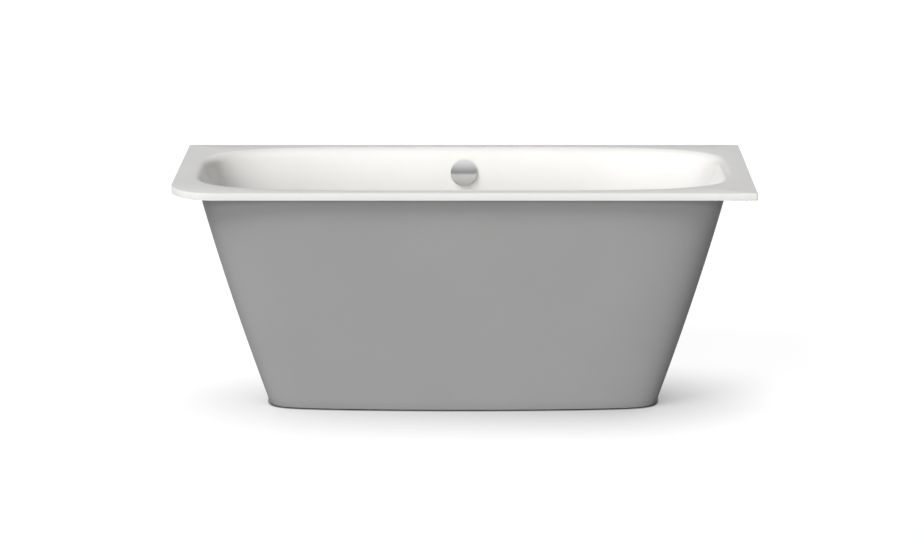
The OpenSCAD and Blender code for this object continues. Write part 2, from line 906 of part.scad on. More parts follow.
// The chromed knob: a domed cap with a hub on the spindle
module overflow_knob() {
    top = knob_gap + knob_skirt;
    dome_r = (knob_r * knob_r + knob_dome * knob_dome) / (2 * knob_dome);
    inner_r = knob_r - knob_t;
    steps = 12;
    hub_dip = 2;
    function dome(r) = top + knob_dome - dome_r + sqrt(dome_r * dome_r - r * r);
    color("lightgray")
        at_overflow() {
            rotate_extrude()
                polygon(concat(
                    [[0, top - knob_t], [inner_r, top - knob_t], [inner_r, knob_gap],
                     [knob_r, knob_gap]],
                    [for (i = [steps:-1:0]) [knob_r * i / steps, dome(knob_r * i / steps)]]
                ));
            ring(hub_r, spindle_r + running_gap, knob_gap - hub_dip, top - knob_t);
        }
}

// The spindle with the crank that pulls the cable
module overflow_spindle() {
    nipple_r = 2.5;
    nipple_h = 3;
    edge = 0.5;
    color("silver")
        at_overflow() {
            bar(spindle_r, spindle_end, knob_gap + knob_skirt - knob_t - seat_gap);
            bar(crank_r, crank_z, crank_z + crank_t);
            translate([crank_r - nipple_r - edge, 0, 0])
                bar(nipple_r, crank_z + crank_t, crank_z + crank_t + nipple_h);
        }
}

// Spokes from a hub to the wall of a neck
module spokes(count, r_in, r_out, z0, z1, width) {
    for (i = [0:count - 1])
        rotate([0, 0, 360 * i / count])
            translate([r_in, -width / 2, z0])
                cube([r_out - r_in, width, z1 - z0]);
}

// The plate on the basin's wall, with its neck through the shell and the spindle's bush
module overflow_faceplate() {
    bore = neck_r - neck_t;
    plate_r = neck_r + 8;
    spoke_w = 3;
    plate_top = face_gasket_t + plate_t;
    color("whitesmoke")
        at_overflow()
            difference() {
                union() {
                    ring(plate_r, bore, face_gasket_t, plate_top);
                    ring(neck_r, bore, housing_front - neck_seat, plate_top);
                    ring(hub_r, spindle_r + running_gap, hub_from, hub_to);
                    spokes(4, hub_r - 1, bore + 1, hub_from, hub_to, spoke_w);
                    for (side = [-1, 1])
                        translate([side * screw_offset, 0, 0])
                            bar(boss_r, hub_from, hub_to);
                }
                for (side = [-1, 1])
                    translate([side * screw_offset, 0, 0])
                        bar(screw_r + running_gap, hub_from - past, hub_to + past);
            }
}

// The rubber rings of the overflow, one on each side of the shell
module overflow_gaskets() {
    color("#303030")
        at_overflow() {
            ring(neck_r + 7, shell_hole_r, seat_gap, face_gasket_t);
            ring(chamber_r - 2, shell_hole_r, housing_front, -shell_t - seat_gap);
        }
}

gland_r = cable_r + 2.5;
gland_x = hose_r + hose_nut_t + gland_r;
gland_end = chamber_r + 6;
gland_from = sqrt(chamber_in_r * chamber_in_r - gland_x * gland_x) + plastic_t / 2;
cable_gap = 0.1;

// Moves children to the stub of the overflow housing, with +z away from the housing
module at_overflow_stub() {
    at_overflow()
        translate([0, 0, stub_z])
            rotate([90, 0, 0])
                children();
}

// The housing behind the shell, with a stub for the hose and a gland for the cable
module overflow_housing() {
    bore = neck_r + running_gap;
    color("dimgray")
        difference() {
            union() {
                at_overflow()
                    rotate_extrude()
                        polygon([
                            [bore, housing_front],
                            [chamber_r + flange_w, housing_front],
                            [chamber_r + flange_w, housing_front - flange_t],
                            [chamber_r, housing_front - flange_t - flange_w],
                            [chamber_r, housing_back],
                            [0, housing_back],
                            [0, housing_floor],
                            [chamber_in_r, housing_floor],
                            [chamber_in_r, housing_front - neck_seat],
                            [bore, housing_front - neck_seat]
                        ]);
                at_overflow_stub() {
                    bar(stub_r, chamber_in_r + stub_root, stub_end);
                    translate([gland_x, 0, 0])
                        bar(gland_r, gland_from, gland_end);
                }
                at_overflow()
                    for (side = [-1, 1])
                        translate([side * screw_offset, 0, 0])
                            bar(boss_r, housing_floor - stub_root, hub_from - boss_gap);
            }
            at_overflow_stub() {
                bar(stub_r - plastic_t, chamber_in_r - bore_root, stub_end + past);
                translate([gland_x, 0, 0])
                    bar(cable_r + cable_gap, gland_from - 2 * gland_r, gland_end + past);
            }
            at_overflow()
                for (side = [-1, 1])
                    translate([side * screw_offset, 0, 0])
                        bar(screw_r + running_gap, housing_floor, hub_from);
        }
}

// The two screws that pull the plate and the housing together
module overflow_screws() {
    head_r = screw_r + 1.6;
    head_h = 2.5;
    color("silver")
        at_overflow()
            for (side = [-1, 1])
                translate([side * screw_offset, 0, 0]) {
                    bar(screw_r, housing_floor + seat_gap, hub_to);
                    bar(head_r, hub_to, hub_to + head_h);
                }
}

// The hose's route in the plane x = 0: along the wall, round the bend, then level to the waste
stub_drop = 35;
stub_level = floor_z - stub_drop;
hose_way = 90 - side_slope;
hose_start = [
    overflow_y - stub_end * sin(side_slope) - stub_z * cos(side_slope),
    overflow_z - stub_end * cos(side_slope) + stub_z * sin(side_slope)
];
bend_drop = hose_bend_r * (1 - cos(hose_way));
hose_fall = (hose_start.y - stub_level - bend_drop) / sin(hose_way);
bend_start = [hose_start.x - hose_fall * cos(hose_way), stub_level + bend_drop];
bend_length = hose_bend_r * hose_way * PI / 180;
waste_stub_out = 19;
waste_stub_end = chamber_r + waste_stub_out;
hose_level = bend_start.x - hose_bend_r * sin(hose_way) - drain_y - waste_stub_end;
hose_length = hose_fall + bend_length + hose_level;

// Place and heading, in degrees below level, at the length s along the hose
function hose_heading(s) =
    s < hose_fall ? hose_way
    : s < hose_fall + bend_length ? hose_way - (s - hose_fall) / hose_bend_r * 180 / PI
    : 0;
function hose_place(s) =
    s < hose_fall ? hose_start - s * [cos(hose_way), sin(hose_way)]
    : s < hose_fall + bend_length ?
        let (now = hose_heading(s))
        bend_start - hose_bend_r * [sin(hose_way) - sin(now), cos(now) - cos(hose_way)]
    : [drain_y + waste_stub_end + hose_length - s, stub_level];

// A ring of points round the hose at the length s
hose_sides = 8;
function hose_ring(s, r) =
    let (p = hose_place(s))
    let (heading = hose_heading(s))
    [for (i = [0:hose_sides - 1])
        let (turn = 360 * (i + 0.5) / hose_sides)
        [r * cos(turn), p.x - r * sin(turn) * sin(heading), p.y + r * sin(turn) * cos(heading)]];

// The ribbed hose: straight at its ends, a groove and a rib by turns between them
module overflow_hose() {
    plain = hose_r;
    low = hose_r - hose_groove;
    ribs = floor((hose_length - 2 * plain) / hose_rib_pitch);
    pitch = (hose_length - 2 * plain) / ribs;
    stops = concat(
        [[hose_gap, low]],
        [for (i = [0:ribs - 1], half = [0, 1])
            [plain + pitch * (i + half / 2), half == 0 ? low : hose_r]],
        [[hose_length - plain, low], [hose_length - hose_gap, low]]
    );
    last = len(stops) - 1;
    loops = concat(
        [for (stop = stops) hose_ring(stop[0], stop[1])],
        [for (i = [last:-1:0]) hose_ring(stops[i][0], hose_bore_r)]
    );
    rows = len(loops);
    color("#d8d8d4")
        polyhedron(
            points = [for (i = [0:hose_sides - 1]) for (loop = loops) loop[i]],
            faces = [for (i = [0:hose_sides - 1], j = [0:rows - 1], f = [0:1])
                let (n = (i + 1) % hose_sides)
                let (k = (j + 1) % rows)
                cell(i * rows + j, i * rows + k, n * rows + k, n * rows + j)[f]],
            convexity = 8
        );
}

// Moves children to the hose's stub on the waste body, with +z away from the body
module at_waste_stub() {
    translate([0, drain_y, stub_level])
        rotate([-90, 0, 0])
            children();
}

// The nuts that hold the hose to its stubs, with ribs for the fingers
module hose_nuts() {
    bore = hose_r + hose_gap;
    behind = 8;
    ahead = 14;
    lid = 3;
    ribs = 10;
    rib_w = 4;
    rib_depth = 0.8;
    module nut_round(end) {
        ring(bore + hose_nut_t - rib_depth, bore, end - behind, end + ahead);
        ring(bore + rib_depth, stub_r + running_gap, end - behind, end - behind + lid);
        for (i = [0:ribs - 1])
            rotate([0, 0, 360 * (i + 0.5) / ribs])
                translate([bore + rib_depth, -rib_w / 2, end - behind])
                    cube([hose_nut_t - rib_depth, rib_w, behind + ahead - rib_depth]);
    }
    color("dimgray") {
        at_overflow_stub()
            nut_round(stub_end);
        at_waste_stub()
            nut_round(waste_stub_end);
    }
}

// The route of the pull cable, from the overflow's gland to the gland of the waste body
cable_route = [
    [27, 304.5, 508.5], [27, 302, 495], [27.5, 292.5, 440], [27.5, 283.5, 390], [27.5, 275, 340],
    [28, 266, 290], [30, 256, 240], [34, 244, 205], [42, 221, 176], [54, 190, 157],
    [68, 157, 146], [82, 124, 140], [91, 97, 138], [88, 77, 138], [76, 67, 138],
    [62, 65.5, 138], [50.4, 65.5, 138]
];
cable_sides = 8;
cable_parts = 3;
route_last = len(cable_route) - 1;
function route_at(i) = cable_route[min(max(i, 0), route_last)];
// A smooth curve through four points, at the share f between the second and the third
function curve_at(a, b, c, d, f) =
    0.5 * (2 * b + (c - a) * f + (2 * a - 5 * b + 4 * c - d) * f * f
    + (3 * b - a - 3 * c + d) * f * f * f);
cable_points = concat(
    [for (i = [0:route_last - 1], k = [0:cable_parts - 1])
        curve_at(route_at(i - 1), route_at(i), route_at(i + 1), route_at(i + 2), k / cable_parts)],
    [cable_route[route_last]]
);
function unit(v) = v / norm(v);
function cable_ring(i) =
    let (last = len(cable_points) - 1)
    let (way = unit(cable_points[min(i + 1, last)] - cable_points[max(i - 1, 0)]))
    let (across = unit(cross(way, [1, 0, 1])))
    let (other = cross(way, across))
    [for (j = [0:cable_sides - 1])
        let (turn = 360 * j / cable_sides)
        cable_points[i] + cable_r * (cos(turn) * across + sin(turn) * other)];

// The pull cable in its sleeve, from the knob's crank to the lift lever
module pull_cable() {
    loops = [for (i = [0:len(cable_points) - 1]) cable_ring(i)];
    color("#202020")
        polyhedron(
            points = [for (j = [0:cable_sides - 1]) for (loop = loops) loop[j]],
            faces = wrapped_faces(cable_sides, len(loops)),
            convexity = 8
        );
}

// The clips that hold the cable to the hose
module cable_clips() {
    bore = hose_r + hose_gap;
    cable_x = 27.5;
    width = 5;
    wall = 2;
    cable_bore = cable_r + 0.8;
    color("#303030")
        for (down = [115, 216])
            at_overflow_stub()
                difference() {
                    union() {
                        bar(bore + wall, down, down + width);
                        translate([cable_x, 0, 0])
                            bar(cable_bore + wall, down, down + width);
                        translate([bore, -wall, down])
                            cube([cable_x - bore, 2 * wall, width]);
                    }
                    bar(bore, down - past, down + width + past);
                    translate([cable_x, 0, 0])
                        bar(cable_bore, down - past, down + width + past);
                }
}

// The waste's pieces, along its axis from the basin's floor
ring_t = 2;
ring_top = face_gasket_t + ring_t;
seal_t = 2;
plug_foot = ring_top + seal_t;
body_top = -shell_t - gasket_t;
body_foot = body_top - drain_body_depth;
funnel_h = 6;
outlet_neck = 14;
outlet_foot = body_foot - funnel_h - outlet_neck;
stem_foot = -35;
lever_turn = 2 * asin(plug_travel / 2 / lever_length);
lever_tip_r = 3;
lever_drop = lever_length * sin(lever_turn / 2);
pin_z = stem_foot - seat_gap - lever_tip_r + lever_drop;
crank_arm = 12;
lever_w = 8;
lever_bar = 4;
waste_gland_z = -47;
waste_gland_end = 50;

// The visible ring of the waste, with its neck through the shell and the stem's guide
module drain_ring() {
    bore = neck_r - neck_t;
    guide_from = -13;
    guide_to = -3;
    guide_t = 3;
    spoke_w = 2.5;
    spoke_turn = 30;
    edge = 1;
    neck_foot = body_top - neck_seat + edge;
    color("lightgray")
        at_drain() {
            rotate_extrude()
                polygon([
                    [bore, neck_foot],
                    [neck_r, neck_foot],
                    [neck_r, face_gasket_t],
                    [drain_ring_r, face_gasket_t],
                    [drain_ring_r - edge, ring_top],
                    [bore + edge, ring_top],
                    [bore, ring_top - edge]
                ]);
            ring(stem_r + guide_t, stem_r + running_gap, guide_from, guide_to);
            rotate([0, 0, spoke_turn])
                spokes(3, stem_r + guide_t - edge, bore + edge, guide_from + edge, guide_to - edge,
                    spoke_w);
        }
}

// The rubber rings of the waste, one on each side of the shell
module drain_gaskets() {
    color("#303030")
        at_drain() {
            ring(drain_ring_r - 2, shell_hole_r, 0, face_gasket_t);
            ring(chamber_r + 1, shell_hole_r, body_top, -shell_t);
        }
}

// The waste body under the shell: a chamber with the lever's bearing, a stub and an outlet
module drain_body() {
    bore = neck_r + running_gap;
    pipe_in_r = pipe_r - pipe_t;
    color("dimgray")
        at_drain()
            difference() {
                union() {
                    rotate_extrude()
                        polygon([
                            [bore, body_top],
                            [chamber_r + flange_w, body_top],
                            [chamber_r + flange_w, body_top - flange_t],
                            [chamber_r, body_top - flange_t - flange_w],
                            [chamber_r, body_foot],
                            [pipe_r, body_foot - funnel_h],
                            [pipe_r, outlet_foot],
                            [pipe_in_r, outlet_foot],
                            [pipe_in_r, body_foot - funnel_h + pipe_t],
                            [chamber_in_r, body_foot + pipe_t],
                            [chamber_in_r, body_top - neck_seat],
                            [bore, body_top - neck_seat]
                        ]);
                    translate([0, 0, -stub_drop])
                        rotate([-90, 0, 0])
                            bar(stub_r, chamber_in_r + stub_root, waste_stub_end);
                    translate([0, 0, waste_gland_z])
                        rotate([0, 90, 0])
                            bar(gland_r, chamber_in_r + stub_root, waste_gland_end);
                }
                translate([0, 0, -stub_drop])
                    rotate([-90, 0, 0])
                        bar(stub_r - plastic_t, chamber_in_r - bore_root, waste_stub_end + past);
                translate([0, 0, waste_gland_z])
                    rotate([0, 90, 0])
                        bar(cable_r + cable_gap, chamber_in_r - bore_root, waste_gland_end + past);
                translate([lever_length, 0, pin_z])
                    rotate([-90, 0, 0])
                        bar(pin_r + running_gap, -chamber_r, chamber_r);
            }
}

// The plug's domed cap
module drain_plug() {
    steps = 10;
    rim = 3;
    edge = 1;
    rise = plug_h - rim;
    dome_r = (plug_r * plug_r + rise * rise) / (2 * rise);
    function dome(r) = plug_foot + plug_h - dome_r + sqrt(dome_r * dome_r - r * r);
    color("lightgray")
        at_drain()
            rotate_extrude()
                polygon(concat(
                    [[0, plug_foot], [plug_r - edge, plug_foot], [plug_r, plug_foot + edge]],
                    [for (i = [steps:-1:0]) [plug_r * i / steps, dome(plug_r * i / steps)]]
                ));
}

// The rubber ring under the plug
module plug_seal() {
    margin = 3;
    color("#303030")
        at_drain()
            ring(plug_r - margin, neck_r - neck_t + margin, ring_top + seal_gap, plug_foot);
}

// The stem that guides and lifts the plug
module plug_stem() {
    color("silver")
        at_drain()
            bar(stem_r, stem_foot, plug_foot);
}

// The bell crank under the stem, turned down to its rest position
module lift_lever() {
    boss = pin_r + 2.5;
    color("silver")
        at_drain()
            translate([lever_length, 0, pin_z])
                rotate([0, -lever_turn / 2, 0])
                    difference() {
                        rotate([90, 0, 0])
                            translate([0, 0, -lever_w / 2]) {
                                bar(boss, 0, lever_w);
                                translate([-lever_length, 0, 0])
                                    bar(lever_tip_r, 0, lever_w);
                                translate([-lever_length, -lever_bar / 2, 0])
                                    cube([lever_length, lever_bar, lever_w]);
                                translate([-lever_bar / 2, -crank_arm, 0])
                                    cube([lever_bar, crank_arm, lever_w]);
                            }
                        rotate([90, 0, 0])
                            bar(pin_r + running_gap, -lever_w, lever_w);
                    }
}

// The lever's pin, held by the walls of the waste body
module lever_pin() {
    half = sqrt(chamber_r * chamber_r - pow(lever_length + pin_r, 2)) - seat_gap;
    color("silver")
        at_drain()
            translate([lever_length, 0, pin_z])
                rotate([-90, 0, 0])
                    bar(pin_r, -half, half);
}

// A quarter or half turn of pipe in the XY plane, from the X axis about the origin
module bend(angle, bend_r, r_out, r_in) {
    rotate_extrude(angle = angle)
        translate([bend_r, 0])
            difference() {
                circle(r = r_out);
                circle(r = r_in);
            }
}

trap_seal_t = 2;
trap_inlet = 40;
trap_top = outlet_foot - trap_seal_t;
trap_axis_z = trap_top - trap_inlet;
riser_top = trap_axis_z + trap_rise;
mouth_length = 12;
outlet_z = riser_top + elbow_r;

// The trap: down from the waste, round the bend, up and over into the elbow
module trap() {
    inner = pipe_r - pipe_t;
    color("whitesmoke")
        at_drain() {
            ring(pipe_r, inner, trap_axis_z, trap_top);
            translate([-trap_r, 0, trap_axis_z])
                rotate([-90, 0, 0])
                    bend(180, trap_r, pipe_r, inner);
            translate([-2 * trap_r, 0, 0]) {
                ring(pipe_r, inner, trap_axis_z, riser_top);
                translate([0, elbow_r, riser_top])
                    rotate([0, -90, 180])
                        bend(90, elbow_r, pipe_r, inner);
            }
        }
    color("whitesmoke")
        at_outlet()
            ring(pipe_r, inner, -mouth_length, 0);
}

// Moves children to the elbow's mouth, with +z towards the wall
module at_outlet() {
    at_drain()
        translate([-2 * trap_r, elbow_r + mouth_length, outlet_z])
            rotate([-90, 0, 0])
                children();
}

// The nuts at the trap's two joints, with ribs for the fingers
module trap_nuts() {
    height = 22;
    ribs = 10;
    rib_w = 5;
    rib_depth = 1;
    rib_gap = 4;
    module nut_round(joint) {
        z0 = joint - height / 2;
        ring(pipe_r + trap_nut_t - rib_depth, pipe_r + running_gap, z0, z0 + height);
        for (i = [0:ribs - 1])
            rotate([0, 0, 360 * i / ribs])
                translate([pipe_r + rib_depth, -rib_w / 2, z0])
                    cube([trap_nut_t - rib_depth, rib_w, height - rib_gap]);
    }
    color("whitesmoke") {
        at_drain()
            nut_round(outlet_foot - trap_seal_t / 2);
        at_outlet()
            nut_round(trap_seal_t / 2);
    }
}

// The rubber rings between the pipes' ends
module trap_seals() {
    inner = pipe_r - pipe_t;
    color("#303030") {
        at_drain()
            ring(pipe_r, inner, trap_top, outlet_foot);
        at_outlet()
            ring(pipe_r, inner, 0, trap_seal_t);
    }
}

// The pipe to the wall, with a wider spigot at its end
module outlet_pipe() {
    reach = rim_y - spigot_wall_gap - drain_y - elbow_r - mouth_length;
    neck = reach - spigot_length;
    cone = 8;
    color("whitesmoke")
        at_outlet()
            rotate_extrude()
                polygon([
                    [pipe_r - pipe_t, trap_seal_t],
                    [pipe_r, trap_seal_t],
                    [pipe_r, neck - cone],
                    [spigot_r, neck],
                    [spigot_r, reach],
                    [spigot_r - pipe_t, reach],
                    [spigot_r - pipe_t, neck],
                    [pipe_r - pipe_t, neck - cone]
                ]);
}

tub_shell();
apron();
apron_seal();
apron_clips();
floor_brackets();
apron_pads();
rail_left();
rail_right();
rail_pads();
damping_mats();
lock_nuts();
foot_stud_front_left();
foot_stud_front_right();
foot_stud_back_left();
foot_stud_back_right();
foot_pad_front_left();
foot_pad_front_right();
foot_pad_back_left();
foot_pad_back_right();
wall_bracket_left();
wall_bracket_right();
end_bracket();
bracket_caps();
earth_lug();
earth_bolt();
overflow_knob();
overflow_spindle();
overflow_faceplate();
overflow_gaskets();
overflow_housing();
overflow_screws();
overflow_hose();
hose_nuts();
pull_cable();
cable_clips();
drain_ring();
drain_gaskets();
drain_body();
drain_plug();
plug_seal();
plug_stem();
lift_lever();
lever_pin();
trap();
trap_nuts();
trap_seals();
outlet_pipe();
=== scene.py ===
"""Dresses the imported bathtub: its enamelled shell, its apron and all that carries and drains it.

Sizes in the classes are in millimetres, as a maker writes them. Meshes are in metres, in the
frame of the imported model.
"""
from __future__ import annotations

import sys
import logging
import math
from dataclasses import dataclass, field
from enum import Enum
from typing import Callable, Sequence, Union

import bmesh
import bpy
from mathutils import Matrix, Vector


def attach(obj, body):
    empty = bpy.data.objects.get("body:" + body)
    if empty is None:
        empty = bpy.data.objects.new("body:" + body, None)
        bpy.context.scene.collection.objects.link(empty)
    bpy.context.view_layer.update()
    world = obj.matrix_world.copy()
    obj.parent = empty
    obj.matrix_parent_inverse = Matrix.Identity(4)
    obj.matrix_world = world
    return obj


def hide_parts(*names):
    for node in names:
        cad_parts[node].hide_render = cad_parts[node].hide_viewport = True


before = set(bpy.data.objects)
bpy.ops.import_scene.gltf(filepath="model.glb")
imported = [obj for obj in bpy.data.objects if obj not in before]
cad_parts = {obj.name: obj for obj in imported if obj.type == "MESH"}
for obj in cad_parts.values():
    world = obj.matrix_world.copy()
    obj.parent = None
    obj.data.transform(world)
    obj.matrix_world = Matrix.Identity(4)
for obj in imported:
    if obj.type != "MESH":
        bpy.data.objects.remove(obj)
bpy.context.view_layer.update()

LOG = logging.getLogger("bathtub")
MM = 0.001
Point = tuple[float, float, float]
Flat = tuple[float, float]
Colour = tuple[float, float, float]
WHITE: Colour = (1.0, 1.0, 1.0)


class Slot(Enum):
    """The record's material slots that the new pieces take."""

    ENAMEL = "enamel_white"
    APRON = "apron_grey"
    FOAM = "foam_grey"
    RUBBER = "rubber_black"
    MAT = "damping_mat"
    CHROME = "chrome"
    HOSE = "hose_plastic"
    CABLE = "cable_black"


class Body(Enum):
    """The bodies that the new pieces ride on."""

    TUB = "tub"
    KNOB = "knob"
    PLUG = "plug"


class CellOutput(Enum):
    """What a cell pattern hands back: the depth in a cell, or one random colour a cell."""

    DISTANCE = "Distance"
    COLOUR = "Color"


# Shader maths


class Signal:
    """One output in a node tree, with arithmetic that adds Math nodes."""

    def __init__(self, bench: "Bench", socket: bpy.types.NodeSocket) -> None:
        """Keeps the socket and the bench that owns its tree."""
        self.bench = bench
        self.socket = socket

    def _math(self, operation: str, first: object, second: object = 0.0) -> "Signal":
        """Adds one Math node.

        Args:
            operation: The node's operation, such as MULTIPLY.
            first: The value or signal of the first input.
            second: The value or signal of the second input.

        Returns:
            The node's result.
        """
        return self.bench.add("ShaderNodeMath", {"operation": operation}, {0: first, 1: second})

    def __add__(self, other: object) -> "Signal":
        """Adds a value or a signal."""
        return self._math("ADD", self, other)

    __radd__ = __add__

    def __sub__(self, other: object) -> "Signal":
        """Takes a value or a signal away."""
        return self._math("SUBTRACT", self, other)

    def __rsub__(self, other: object) -> "Signal":
        """Takes this signal away from a value."""
        return self._math("SUBTRACT", other, self)

    def __mul__(self, other: object) -> "Signal":
        """Multiplies by a value or a signal."""
        return self._math("MULTIPLY", self, other)

    __rmul__ = __mul__

    def __pow__(self, other: object) -> "Signal":
        """Raises this signal to a power."""
        return self._math("POWER", self, other)

    def __rpow__(self, other: object) -> "Signal":
        """Raises a value to this signal."""
        return self._math("POWER", other, self)

    def larger(self, other: object) -> "Signal":
        """The larger of this and another."""
        return self._math("MAXIMUM", self, other)

    def between(self, low: float, high: float) -> "Signal":
        """Rises smoothly from 0 at low to 1 at high."""
        return self.bench.add(
            "ShaderNodeMapRange", {"interpolation_type": "SMOOTHSTEP"},
            {"Value": self, "From Min": low, "From Max": high},
        )


class Bench:
    """A node tree under work, and the one method that adds nodes to it."""

    def __init__(self, tree: bpy.types.NodeTree) -> None:
        """Empties the tree and keeps it."""
        self.tree = tree
        self.tree.nodes.clear()

    def add(
        self, kind: str, settings: dict[str, object] | None = None,
        inputs: dict[Union[str, int], object] | None = None, output: Union[str, int] = 0,
    ) -> Signal:
        """Adds a node.

        Args:
            kind: The node's type, such as ShaderNodeTexNoise.
            settings: Its settings, which are set before its sockets.
            inputs: Values or signals for its sockets, by name or number.
            output: The output to hand back, by name or number.

        Returns:
            The signal of that output, or of none where the node has no outputs.
        """
        node = self.tree.nodes.new(kind)
        for name, value in (settings or {}).items():
            setattr(node, name, value)
        for name, value in (inputs or {}).items():
            socket = node.inputs[name]
            if isinstance(value, Signal):
                self.tree.links.new(value.socket, socket)
            elif isinstance(value, tuple) and len(value) == 3 and socket.type == "RGBA":
                socket.default_value = (*value, 1.0)
            else:
                socket.default_value = value
        return Signal(self, node.outputs[output] if node.outputs else None)

    def place(self) -> Signal:
        """The place on the piece, in metres in the model's frame."""
        return self.add("ShaderNodeTexCoord", output="Object")

    def stretched(self, factors: Point) -> Signal:
        """The place on the piece, scaled along each axis."""
        return self.add(
            "ShaderNodeVectorMath", {"operation": "MULTIPLY"}, {0: self.place(), 1: factors}
        )

    def noise(
        self, size_mm: float, detail: float = 2.0, rough: float = 0.5, where: Signal | None = None
    ) -> Signal:
        """A noise about 0.5.

        Args:
            size_mm: The size of its features, in millimetres.
            detail: How many finer layers it has.
            rough: How strong the finer layers are.
            where: The place to take it at, or the place on the piece.

        Returns:
            The noise, from 0 to 1.
        """
        return self.add(
            "ShaderNodeTexNoise", {"noise_dimensions": "3D"},
            {"Vector": where or self.place(), "Scale": 1.0 / (size_mm * MM), "Detail": detail,
             "Roughness": rough},
            "Fac",
        )

    def cells(
        self, size_mm: float, output: CellOutput = CellOutput.DISTANCE, spread: float = 1.0
    ) -> Signal:
        """A cell pattern.

        Args:
            size_mm: The size of a cell, in millimetres.
            output: What it hands back.
            spread: How irregular the cells are.

        Returns:
            The chosen output.
        """
        return self.add(
            "ShaderNodeTexVoronoi", {"feature": "F1"},
            {"Vector": self.place(), "Scale": 1.0 / (size_mm * MM), "Randomness": spread},
            output.value,
        )

    def mix(self, share: object, low: object, high: object) -> Signal:
        """Mixes two colours.

        Args:
            share: The share of the second colour, from 0 to 1.
            low: The colour at 0.
            high: The colour at 1.

        Returns:
            The mixed colour.
        """
        share_in, low_in, high_in, colour_out = 0, 6, 7, 2
        return self.add(
            "ShaderNodeMix", {"data_type": "RGBA", "blend_type": "MIX"},
            {share_in: share, low_in: low, high_in: high}, colour_out,
        )

    def bump(self, height: Signal, depth_mm: float) -> Signal:
        """Turns a height from 0 to 1 into a bent normal.

        Args:
            height: The height.
            depth_mm: What a height of 1 stands for, in millimetres.

        Returns:
            The normal.
        """
        return self.add(
            "ShaderNodeBump", None,
            {"Height": height, "Distance": depth_mm * MM, "Strength": 1.0},
        )

    def close(self, **inputs: object) -> None:
        """Ends a material in one Principled shader.

        Args:
            inputs: The shader's inputs, with underscores for spaces.
        """
        names = {
            name.replace("_", " ").replace("Ior", "IOR"): value for name, value in inputs.items()}
        surface = self.add("ShaderNodeBsdfPrincipled", None, names)
        self.add("ShaderNodeOutputMaterial", None, {"Surface": surface})


# Finishes


def lighter(colour: Colour, by: float) -> Colour:
    """A colour made lighter, or darker where by is below 1."""
    return tuple(min(1.0, channel * by) for channel in colour)


@dataclass(frozen=True)
class Finish:
    """A finish that can be brushed on a piece. Its material is made once."""

    name: str
    colour: Colour
    roughness: float

    def tones(self, low: float, high: float) -> tuple[Colour, Colour]:
        """The finish's colour, lighter or darker by two factors."""
        return lighter(self.colour, low), lighter(self.colour, high)

    def paint(self, bench: Bench) -> None:
        """Makes the finish's nodes, which each kind of finish does in its own way."""
        raise NotImplementedError(self.name)

    def material(self) -> bpy.types.Material:
        """Hands back the finish's material and makes it at its first use.

        Returns:
            The material.
        """
        made = bpy.data.materials.get(self.name)
        if made is None:
            made = bpy.data.materials.new(self.name)
            made.use_nodes = True
            self.paint(Bench(made.node_tree))
        return made


@dataclass(frozen=True)
class Enamel(Finish):
    """Glossy fired enamel with a faint orange peel and slight clouds in its white."""

    peel_mm: float = 5.0
    peel_depth_mm: float = 0.006
    wave_mm: float = 30.0
    wave_share: float = 0.25
    cloud_mm: float = 260.0
    darkest: float = 0.985
    lightest: float = 1.01
    haze_mm: float = 90.0
    haze: float = 0.05
    coat: float = 0.3
    coat_roughness: float = 0.12

    def paint(self, bench: Bench) -> None:
        """Makes the white with its clouds, its peel and its gloss.

        Args:
            bench: The material's nodes.
        """
        clouds = bench.noise(self.cloud_mm, detail=3.0).between(0.3, 0.7)
        fine, broad = bench.noise(self.peel_mm), bench.noise(self.wave_mm, detail=1.0)
        peel = fine * (1 - self.wave_share) + broad * self.wave_share
        bench.close(
            Base_Color=bench.mix(clouds, *self.tones(self.darkest, self.lightest)),
            Roughness=self.roughness + bench.noise(self.haze_mm) * self.haze,
            Coat_Weight=self.coat, Coat_Roughness=self.coat_roughness,
            Normal=bench.bump(peel, self.peel_depth_mm),
        )


@dataclass(frozen=True)
class GroundCoat(Finish):
    """The dark speckled first coat on the hidden side of the enamelled sheet."""

    speck: Colour = (0.42, 0.44, 0.46)
    speck_mm: float = 5.5
    patch_mm: float = 14.0
    run_mm: float = 60.0
    darkest: float = 0.8
    lightest: float = 1.25
    haze_mm: float = 35.0
    haze: float = 0.15
    grit_mm: float = 3.0
    grit_depth_mm: float = 0.03

    def paint(self, bench: Bench) -> None:
        """Makes the dark coat with pale specks and runs.

        Args:
            bench: The material's nodes.
        """
        specks = 1 - bench.cells(self.speck_mm).between(0.10, 0.24)
        sparse = bench.noise(self.patch_mm).between(0.50, 0.62)
        runs = bench.noise(self.run_mm, detail=4.0)
        base = bench.mix(runs, *self.tones(self.darkest, self.lightest))
        bench.close(
            Base_Color=bench.mix(specks * sparse, base, self.speck),
            Roughness=self.roughness + bench.noise(self.haze_mm) * self.haze,
            Normal=bench.bump(bench.noise(self.grit_mm, detail=3.0), self.grit_depth_mm),
        )


